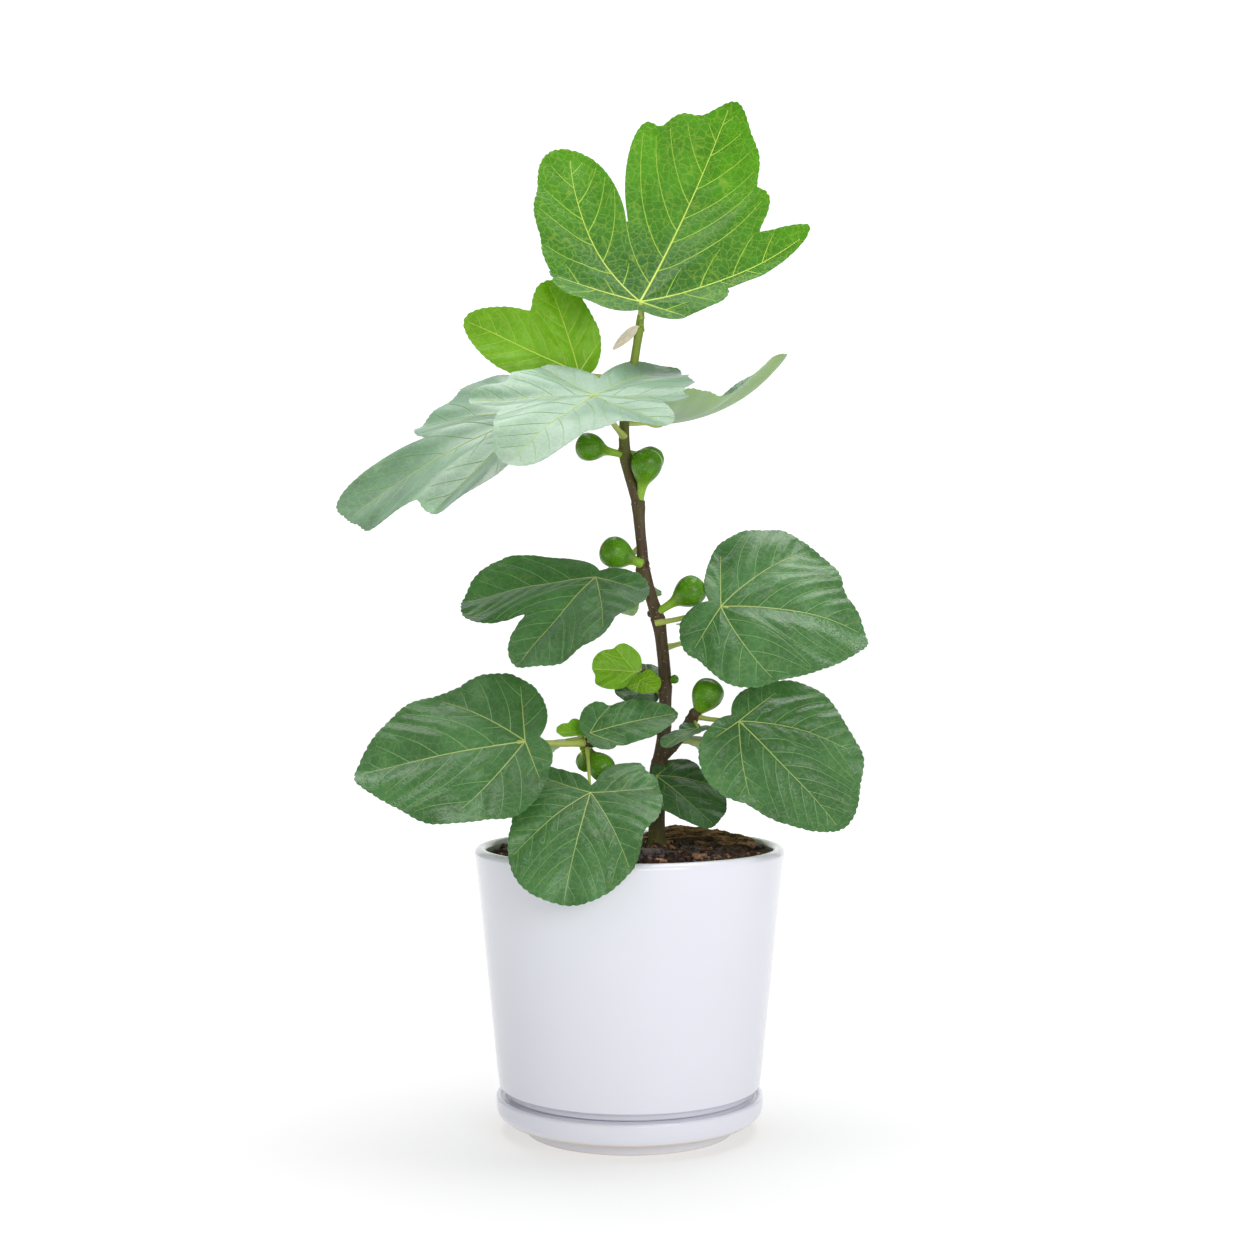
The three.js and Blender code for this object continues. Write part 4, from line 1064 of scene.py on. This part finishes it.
def lay_crumb(bm, draw):
    """Adds a lump of soil or of composted bark to the soil's top."""
    x, y = somewhere(draw, 0.0985)
    size = 0.001 + 0.0026 * draw.random() ** 2
    turn = Matrix.Rotation(draw.random() * TURN, 4, Vector([draw.random() for _ in range(3)]))
    at = Matrix.Translation((x, y, soil_level(x, y) + size * 0.35))
    crumb = bmesh.ops.create_icosphere(bm, subdivisions=1, radius=size, matrix=at @ turn)["verts"]
    for v in crumb:
        v.co += Vector([draw.uniform(-1, 1) for _ in range(3)]) * size * 0.28
    part, kind = bm.verts.layers.int["part"], draw.choice([PEAT, PEAT, PEAT, COMPOSTED])
    for v in crumb:
        v[part] = kind


def lay_flake(bm, draw):
    """Adds a flake of bark to the soil's top, unless its place is taken by the stem."""
    x, y = somewhere(draw, 0.094)
    long, wide, high = (draw.uniform(*pair) * MM for pair in FLAKE_SIZES)
    if math.hypot(x - STEM[0][0] * MM, y) < 0.011:
        return
    tilt = Matrix.Rotation(draw.uniform(-0.5, 0.5), 4, "X")
    tilt = tilt @ Matrix.Rotation(draw.uniform(-0.4, 0.4), 4, "Y")
    at = Matrix.Translation((x, y, soil_level(x, y) + 0.0012))
    turn = at @ Matrix.Rotation(draw.random() * TURN, 4, "Z") @ tilt
    shape = turn @ Matrix.Diagonal((long, wide, high, 1))
    before = len(bm.verts)
    flake = bmesh.ops.create_cube(bm, size=2, matrix=shape)["verts"]
    edges = list(dict.fromkeys(edge for v in flake for edge in v.link_edges))
    bmesh.ops.subdivide_edges(bm, edges=edges, cuts=1, use_grid_fill=True)
    bm.verts.ensure_lookup_table()
    part, kind = bm.verts.layers.int["part"], draw.choice([COMPOSTED, RUSTY, RUSTY, WEATHERED])
    for v in bm.verts[before:]:
        v.co += Vector([draw.uniform(-far, far) * high for far in (0.7, 0.7, 0.4)])
        v[part] = kind


class PottedFigOperator:
    """What every operator here shares."""

    bl_options = {"REGISTER", "UNDO"}


class POTTED_FIG_OT_pot(PottedFigOperator, bpy.types.Operator):
    """Build the glazed pot and its saucer"""

    bl_idname = "potted_fig.pot"
    bl_label = "Pot and saucer"

    def execute(self, context):
        settings = context.scene.potted_fig_pot
        glaze, bare = glaze_material(settings), bare_material(settings)
        rim, top, lip = settings.rim_radius, settings.rim_height, settings.wall / 2
        # The side is straight from above the foot to the rim, whose lip is half round.
        low, low_radius = 0.027, 0.092
        slope = (rim - low_radius) / (top - low)
        side = [(low_radius + slope * (z - low), z) for z in (0.045, 0.08, 0.12, 0.16)]
        pot = [
            (0, 0.0123), (0.070, 0.0123), *arc(0.070, 0.0143, 0.002, -60, 0, 3),
            *arc(0.074, 0.0248, 0.002, 180, 90, 3), *arc(0.0868, 0.0280, 0.0012, -90, 0, 4),
            (0.0881, 0.0308), *arc(0.0911, 0.0332, 0.0013, -100, 0, 5), *side,
            *arc(rim - lip, top - lip, lip, 0, 180, 16), (0.0972, 0.16), (0.0845, 0.04), (0, 0.04),
        ]
        bm = bmesh.new()
        spun(bm, pot, 192)
        bare_where(bm, lambda x, y, z: z < 0.0135)
        keep(bm, "Pot", [glaze, bare], ["pot"])

        saucer = [
            (0, 0), (0.0732, 0), *arc(0.0732, 0.0008, 0.0008, -90, 0, 3), (0.074, 0.0072),
            *arc(0.0755, 0.0072, 0.0015, 180, 110, 3), (0.0836, 0.0088),
            *arc(0.0845, 0.0185, 0.0098, -80, 0, 12), *arc(0.0925, 0.024, 0.002, 0, 180, 12),
            *arc(0.0888, 0.025, 0.0017, -20, -160, 6), (0.0863, 0.026), (0.0845, 0.0264), (0.0795, 0.026),
            (0.077, 0.015), (0.075, 0.012), (0, 0.012),
        ]
        bm = bmesh.new()
        spun(bm, saucer, 192)
        # The saucer is bare underneath, but the outside of its foot ring is glazed.
        bare_where(bm, lambda x, y, z: (
            z < 0.0112 and not (z > 0.001 and 0.0735 < math.hypot(x, y) < 0.0745)
        ))
        keep(bm, "Saucer", [glaze, bare], ["saucer"])
        return {"FINISHED"}


class POTTED_FIG_OT_soil(PottedFigOperator, bpy.types.Operator):
    """Build the potting soil with its crumbs and flakes of bark"""

    bl_idname = "potted_fig.soil"
    bl_label = "Soil"

    def execute(self, context):
        settings = context.scene.potted_fig_soil
        draw = random.Random(11)
        bm = bmesh.new()
        # The flat bottom and the side inside the pot, and then rows from the top's edge to its middle.
        buried = [(0, 0.0403), (0.0843, 0.0403), (0.1005, 0.193)]
        radii = [r for r, _ in buried] + [SOIL_RADIUS * (1 - i / 64) for i in range(65)]
        angle = np.linspace(0, TURN, 241)
        points = np.zeros((len(radii), len(angle), 3))
        for i, r in enumerate(radii):
            for j, a in enumerate(angle[:-1]):
                x, y = r * math.sin(a), r * math.cos(a)
                points[i, j] = x, y, buried[i][1] if i < len(buried) else soil_level(x, y)
        points[:, -1] = points[:, 0]
        lay(bm, points)
        for _ in range(settings.crumbs):
            lay_crumb(bm, draw)
        for _ in range(settings.chips):
            lay_flake(bm, draw)
        materials = [
            peat_material(settings),
            bark_material("Composted bark", linear("4A352A"), linear("5E4535")),
            bark_material("Rusty bark", settings.bark, settings.fresh),
            bark_material("Weathered bark", linear("57494A"), linear("6E5F5C")),
        ]
        keep(bm, "Soil", materials, ["soil"], crisp=38)
        return {"FINISHED"}


class POTTED_FIG_OT_bark(PottedFigOperator, bpy.types.Operator):
    """Build the slab and the chunks of broken bark that lie on the soil"""

    bl_idname = "potted_fig.bark"
    bl_label = "Broken bark"

    def execute(self, context):
        for node, (middle, size, turn, finish) in CHUNKS.items():
            bm = self.chunk(node, middle, size, turn)
            keep(bm, piece_name(node), [bpy.data.materials[finish]], [node], crisp=38)
        settings = context.scene.potted_fig_soil
        slab = bark_material("Conifer bark slab", settings.bark, settings.fresh, (0.3, 1, 1))
        keep(self.slab(), "BarkSlab", [slab], ["bark_slab"], crisp=38)
        return {"FINISHED"}

    def chunk(self, node, middle, size, turn):
        """A rounded, layered lump of bark that lies where its solid does."""
        x, y = middle
        long, wide, high = (s * MM for s in size)
        bm = bmesh.new()
        bmesh.ops.create_cube(bm, size=1)
        bmesh.ops.subdivide_edges(bm, edges=bm.edges, cuts=13, use_grid_fill=True)
        for v in bm.verts:
            p = v.co
            rounded = 1 - 0.35 * (2 * p.length - 1) ** 2
            at = Vector((p.x * 3, p.y * 3, p.z * 3)) + Vector((x, y, 0))
            rough = noise.fractal(at * 1.7, 0.8, 2.2, 5) * 0.13
            layer = 0.06 * math.sin(22 * p.z + 5 * p.x + 3 * noise.noise(at * 2))
            grow = rounded * (1 + rough) + layer * (1 - abs(2 * p.z)) * 0.5
            v.co = Vector((p.x * long * grow, p.y * wide * grow, (p.z * (1 + rough * 0.6) + 0.5) * high))
        at = Matrix.Translation((x * MM, y * MM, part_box(node)[0].z))
        bmesh.ops.transform(bm, matrix=at @ Matrix.Rotation(math.radians(turn), 4, "Z"), verts=bm.verts)
        return bm

    def slab(self):
        """A long, furrowed slab that lies in the soil and leans a little to the front."""
        middle = spline(SLAB, 150)
        t = np.linspace(0, 1, len(middle))
        swell = 1 - 0.5 * np.abs(2 * t - 1) ** 3

        def rise(i, a):
            s, across = t[i], math.cos(a)
            ridge = noise.fractal(Vector((across * 7, s * 4.5, math.sin(a) * 2)), 0.7, 2.1, 6)
            bend = noise.noise(Vector((s * 4, across * 1.5, 1.3)))
            furrow = abs(math.sin(6.5 * across + 3.2 * bend))
            flake = noise.fractal(Vector((across * 15, s * 24, 4)), 0.8, 2.2, 5)
            return 2.2 * ridge + 3 * furrow**0.5 + 1.5 * flake - 2.3

        bulge = bulges(len(middle), 72, rise) * np.clip(np.minimum(t, 1 - t) * 14, 0.25, 1)[:, None]
        points = rings(middle * MM, np.outer(swell, SLAB_HALF) * MM, 72, bulge * MM)
        points[:, :, 2] += 0.3 * (points[:, :, 1] - points[:, :, 1].mean(1, keepdims=True))
        bm = bmesh.new()
        lay(bm, points)
        return bm


class POTTED_FIG_OT_stem(PottedFigOperator, bpy.types.Operator):
    """Build the stem and its side shoots"""

    bl_idname = "potted_fig.stem"
    bl_label = "Stem and shoots"

    def execute(self, context):
        settings = context.scene.potted_fig_stem
        bark, ring = stem_material(settings), settings.ring / MM
        keep(self.stem(ring), "Stem", [bark], ["main_stem"])
        for node, shoot in SHOOTS.items():
            keep(self.shoot(ring, *shoot), piece_name(node), [bark], [node])
        return {"FINISHED"}

    def stem(self, ring):
        """The stem with its flared foot, its corky skin, its node rings and its buds."""
        line = spline(STEM, 420)
        # Each node has a narrow ring, and a soft swelling just below it.
        scars = ring * bumps(line[:, 2], STEM_NODES, 0.9)
        swellings = 0.35 * bumps(line[:, 2] + 3, STEM_NODES, 4)

        def rise(i, a):
            _, _, z, r = line[i]
            at = Vector((math.cos(a) * r, math.sin(a) * r, z * 0.16))
            cork = noise.fractal(at * 0.42, 0.8, 2.1, 4)
            flare = max(0, 1 - (z - STEM[0][2]) / 16) * 0.8 * math.cos(5 * a + 1)
            return 0.2 * cork + scars[i] + swellings[i] + flare

        bm = bmesh.new()
        lay(bm, rings(line[:, :3] * MM, line[:, 3] * MM, 40, bulges(len(line), 40, rise) * MM))
        # A small pointed bud stands over each node but the lowest two.
        for index, height in enumerate(STEM_NODES[2:]):
            k = int(np.argmin(np.abs(line[:, 2] - height - 2)))
            a = 2.4 * index + 0.6
            out = np.array([math.cos(a), math.sin(a), 0])
            at = line[k, :3] + out * (line[k, 3] - 0.8)
            steps = [(0, 0), (1.6, 0.8), (2.4, 2.4), (2.5, 4)]
            route = spline([at + out * far + (0, 0, up) for far, up in steps], 14)
            radii = np.interp(np.linspace(0, 1, 15), [0, 0.3, 0.6, 1], [1.3, 1.5, 1.0, 0.1])
            lay(bm, rings(route * MM, radii * MM, 14))
        return bm

    def shoot(self, ring, foot, tip, sag, radii):
        """A side shoot with its node rings, which ends bluntly under its bud or leaves."""
        line = spline([foot, (np.array(foot, float) + tip) / 2 - (0, 0, sag), tip], 70)
        t = np.linspace(0, 1, len(line))
        radii = np.interp(t, [0, 0.5, 0.96, 1], [*radii, radii[2] * 0.55])
        scars = ring * bumps(t, SHOOT_NODES, 0.02)

        def rise(i, a):
            at = Vector((math.cos(a) * 3, math.sin(a) * 3, t[i] * 9 + line[i, 0]))
            return (0.22 * noise.fractal(at * 0.5, 0.8, 2.1, 4) + scars[i]) * radii[i] / 4

        bm = bmesh.new()
        lay(bm, rings(line * MM, radii * MM, 28, bulges(len(line), 28, rise) * MM))
        return bm


class POTTED_FIG_OT_leaves(PottedFigOperator, bpy.types.Operator):
    """Build the leaves, each with its petiole and veins"""

    bl_idname = "potted_fig.leaves"
    bl_label = "Leaves"

    def execute(self, context):
        s = context.scene.potted_fig_leaf
        petiole = stalk_material("Fig petiole", s.petiole, linear("B7C26A"))
        vein = stalk_material("Fig leaf vein", s.vein, linear("B9C678"))
        bright = stalk_material("Young fig leaf vein", linear("BCD850"), linear("CDE06A"))
        fine = stalk_material("Fig leaf side vein", linear("729E60"), linear("8CB070"))
        fresh = stalk_material("Young fig leaf side vein", linear("9CC63A"), linear("AFD050"))
        under = leaf_material("Fig leaf underside", s.under, s.vein, 0.6, 0.2, 0.3, "8FC03C")
        young_under = leaf_material(
            "Young fig leaf underside", linear("8DBB3A"), linear("C3D86A"), 0.55, 0.45, 0.5, "9AD81E",
        )
        old, new = [under, vein, petiole, fine], [young_under, bright, petiole, fresh]
        # The materials of each age of leaf, in the order of the slots.
        kinds = {
            "full": [leaf_material("Full-grown fig leaf", s.full, s.vein, 0.33, 0.14, 0.2, "6FA82E"), *old],
            # Full-grown leaves near the top are painted paler on both sides, palest round the foot, which is
            # painted sheen.
            "waxy": [
                leaf_material(
                    "Waxy fig leaf", linear("5F875F"), linear("C6D6AC"), 0.3, 0.1, 0.16, "7FB040",
                    sheen=0.6, foot=linear("789C80"), depth=0.55, relief=0.1,
                ),
                leaf_material(
                    "Waxy fig leaf underside", linear("98C444"), linear("C9DC90"), 0.5, 0.3, 0.2, "A8DC30",
                    foot=linear("B4CCAA"), relief=0.12,
                ),
                vein, petiole, fine,
            ],
            "young": [
                # The young leaf's darker, bluer foot is painted light: sheen there and light through its
                # lobes.
                leaf_material(
                    "Young fig leaf", s.young, linear("B4D848"), 0.46, 0.42, 0.5, "84C808",
                    sheen=0, foot=linear("2F6A2A"), depth=0.6,
                ),
                *new,
            ],
            "tender": [
                leaf_material(
                    "Tender fig leaf", linear("7CB214"), linear("BCD850"), 0.44, 0.42, 0.4, "A4DC08",
                    sheen=0,
                ),
                *new,
            ],
            # The shaded leaf's darker green is painted shade.
            "shaded": [leaf_material("Shaded fig leaf", s.shaded, s.vein, 0.36, 0.1, 0.16, "5C8A30"), *old],
        }
        for seed, (node, leaf) in enumerate(LEAVES.items()):
            keep(leaf_mesh(leaf, seed, s), piece_name(node), kinds[leaf.age], [node], crisp=75)
        return {"FINISHED"}


class POTTED_FIG_OT_dry_scale(PottedFigOperator, bpy.types.Operator):
    """Build the dried bud scale under the top leaf"""

    bl_idname = "potted_fig.dry_scale"
    bl_label = "Dried bud scale"

    def execute(self, context):
        bm = leaf_mesh(DRY_SCALE, 3, context.scene.potted_fig_leaf)
        keep(bm, "DryScale", [scale_material()] * 5, ["dry_scale"], crisp=75)
        return {"FINISHED"}


class POTTED_FIG_OT_figs(PottedFigOperator, bpy.types.Operator):
    """Build the green figs with their stalks"""

    bl_idname = "potted_fig.figs"
    bl_label = "Figs"

    def execute(self, context):
        settings = context.scene.potted_fig_fruit
        skin = fig_material(settings)
        eye = stalk_material("Fig eye", linear("8A7A3C"), linear("A5553A"))
        for index, (node, fig) in enumerate(FIGS.items()):
            keep(self.fig(index, settings.rib / MM, *fig), piece_name(node), [skin, eye], [node])
        return {"FINISHED"}

    def fig(self, index, rib, start, centre, radius):
        """One fig round a straight line from its stalk's start to its eye."""
        start, centre = np.array(start, float), np.array(centre, float)
        along = unit(centre - start)
        side = unit(np.cross(along, (0.2, 0.3, 1)))
        stalk = np.linalg.norm(centre - start) / radius
        head = [(-stalk, 0.3), (-(stalk + 1.9) / 2, 0.26)] if stalk > 2.2 else [(-stalk, 0.34)]
        line = spline(head + [p for p in FIG_OUTLINE if p[0] > 0.15 - stalk], 64)
        place, reach = line[:, 0], np.maximum(line[:, 1], 0)
        angle = np.linspace(0, TURN, 61)
        # Eleven ribs fade out towards the neck and the eye.
        ribs = ease((place + 1) / 0.7) * ease((0.9 - place) / 0.4)
        out = reach[:, None] * radius + ribs[:, None] * np.cos(11 * angle + index) * rib
        out[-1] = 0
        circle = side * np.cos(angle)[:, None] + np.cross(along, side) * np.sin(angle)[:, None]
        middle = centre + place[:, None] * radius * along
        points = middle[:, None] + out[:, :, None] * circle
        points = np.concatenate([np.broadcast_to(start, (1, *circle.shape)), points])
        points[:, -1] = points[:, 0]
        places = np.stack(np.broadcast_arrays(angle[None] / TURN, np.r_[-stalk, place][:, None]), 2)
        # The last rows of points are the eye.
        bm = bmesh.new()
        lay(bm, points * MM, [0] * (len(points) - 7) + [1] * 7, places)
        return bm


class POTTED_FIG_OT_stage(PottedFigOperator, bpy.types.Operator):
    """Set up the floor, the soft studio light and the camera"""

    bl_idname = "potted_fig.stage"
    bl_label = "Stage"

    def execute(self, context):
        scene = context.scene
        self.floor(scene)
        self.room(scene)
        self.lamps(scene)
        camera = bpy.data.cameras.new("Camera")
        camera.sensor_width, camera.lens = SENSOR, SENSOR * PHOTO_LENS / PHOTO_WIDTH
        view = bpy.data.objects.new("Camera", camera)
        view.location = CAMERA_AT
        view.rotation_euler = (math.pi / 2, 0, 0)
        scene.collection.objects.link(view)
        scene.camera = view
        scene.view_settings.view_transform = "Standard"
        return {"FINISHED"}

    def floor(self, scene):
        """A plain floor with painted glow, weakest near the plant so that it paints shade round the pot, and
        strongest far off.
        """
        base = scene.potted_fig_stage.floor
        material, tree = new_material("Plain floor")
        place = add(tree, "TexCoord", {}).outputs["Object"]
        far = add(tree, "VectorMath", {"operation": "LENGTH", 0: place}).outputs["Value"]
        # Painted light: the glow is weakest near the plant, which is painted shade round the pot, and grows
        # to white far off.
        glow = add(tree, "MapRange", {
            "Value": far, "From Min": 0.1, "From Max": 1.6, "To Min": 0.56, "To Max": 0.9,
            "interpolation_type": "SMOOTHSTEP",
        })
        paper = add(tree, "BsdfDiffuse", {"Color": tone(base, 0.36)})
        lit = add(tree, "Emission", {"Color": base[:], "Strength": glow.outputs[0]})
        shader = add(tree, "AddShader", {0: paper.outputs[0], 1: lit.outputs[0]})
        add(tree, "OutputMaterial", {"Surface": shader.outputs[0]})
        bm = bmesh.new()
        bmesh.ops.create_grid(bm, x_segments=2, y_segments=2, size=30)
        mesh = bpy.data.meshes.new("Floor")
        bm.to_mesh(mesh)
        bm.free()
        mesh.materials.append(material)
        floor = bpy.data.objects.new("Floor", mesh)
        scene.collection.objects.link(floor)

    def room(self, scene):
        """A white wall of light behind the plant, dark gaps at its sides and a dimmer room in front,
        which is dimmest at the left."""
        world = scene.world or bpy.data.worlds.new("Studio")
        scene.world = world
        world.use_nodes = True
        tree = world.node_tree
        tree.nodes.clear()
        facing = add(tree, "SeparateXYZ", {"Vector": add(tree, "TexCoord", {}).outputs["Generated"]})
        depth = add(tree, "MapRange", {"Value": facing.outputs["Y"], "From Min": -1})
        wall = add(tree, "ValToRGB", {"Fac": depth.outputs[0], "stops": [
            (0, 0.38), (0.35, 0.38), (0.62, 0.3), (0.72, 0.1), (0.9, 0.14), (0.945, 1), (1, 1),
        ]})
        side = add(tree, "MapRange", {
            "Value": facing.outputs["X"], "From Min": -1, "From Max": 0.2, "To Min": 0.64,
        })
        level = add(tree, "Math", {"operation": "MULTIPLY", 0: wall.outputs[0], 1: side.outputs[0]})
        level = add(tree, "Math", {"operation": "MULTIPLY", 0: level.outputs[0], 1: 1.24})
        sky = add(tree, "Background", {"Color": (1, 1, 1, 1), "Strength": level.outputs[0]})
        add(tree, "OutputWorld", {"Surface": sky.outputs[0]})

    def lamps(self, scene):
        """Four soft boxes that face the plant's middle."""
        settings = scene.potted_fig_stage
        for name, watts, at, size in (
            ("Key", settings.key, (-1.3, -1.6, 1.1), (0.8, 0.8)),
            ("Fill", settings.fill, (0.85, -1.85, 0.85), (1.4, 0.7)),
            ("Top", settings.top, (0.05, 0.4, 2.3), (2.1, 1.9)),
            ("Strip", settings.strip, (-1.6, -0.15, 0.35), (0.1, 1.1)),
        ):
            lamp = bpy.data.lights.new(name, "AREA")
            lamp.shape = "RECTANGLE"
            lamp.energy, lamp.size, lamp.size_y = watts, *size
            light = bpy.data.objects.new(name, lamp)
            light.location = at
            light.rotation_euler = (Vector(LAMPS_AIM) - Vector(at)).to_track_quat("-Z", "Y").to_euler()
            scene.collection.objects.link(light)


OPERATORS = [
    POTTED_FIG_OT_pot, POTTED_FIG_OT_soil, POTTED_FIG_OT_bark, POTTED_FIG_OT_stem, POTTED_FIG_OT_leaves,
    POTTED_FIG_OT_dry_scale, POTTED_FIG_OT_figs, POTTED_FIG_OT_stage,
]


class POTTED_FIG_PT_panel(bpy.types.Panel):
    """Sizes, colours and pieces of the potted fig"""

    bl_label = "Potted fig"
    bl_space_type = "VIEW_3D"
    bl_region_type = "UI"
    bl_category = "Potted fig"

    def draw(self, context):
        for name, group in GROUPS.items():
            box = self.layout.box()
            for key in group.__annotations__:
                box.prop(getattr(context.scene, name), key)
        for operator in OPERATORS:
            self.layout.operator(operator.bl_idname)


def register():
    for group in GROUPS.values():
        bpy.utils.register_class(group)
    for name, group in GROUPS.items():
        setattr(bpy.types.Scene, name, PointerProperty(type=group))
    for shown in [*OPERATORS, POTTED_FIG_PT_panel]:
        bpy.utils.register_class(shown)


def unregister():
    for shown in [POTTED_FIG_PT_panel, *reversed(OPERATORS)]:
        bpy.utils.unregister_class(shown)
    for name in GROUPS:
        delattr(bpy.types.Scene, name)
    for group in reversed(GROUPS.values()):
        bpy.utils.unregister_class(group)


def main():
    register()
    for operator in OPERATORS:
        group, name = operator.bl_idname.split(".")
        getattr(getattr(bpy.ops, group), name)()
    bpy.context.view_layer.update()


if __name__ == "__main__":
    main()
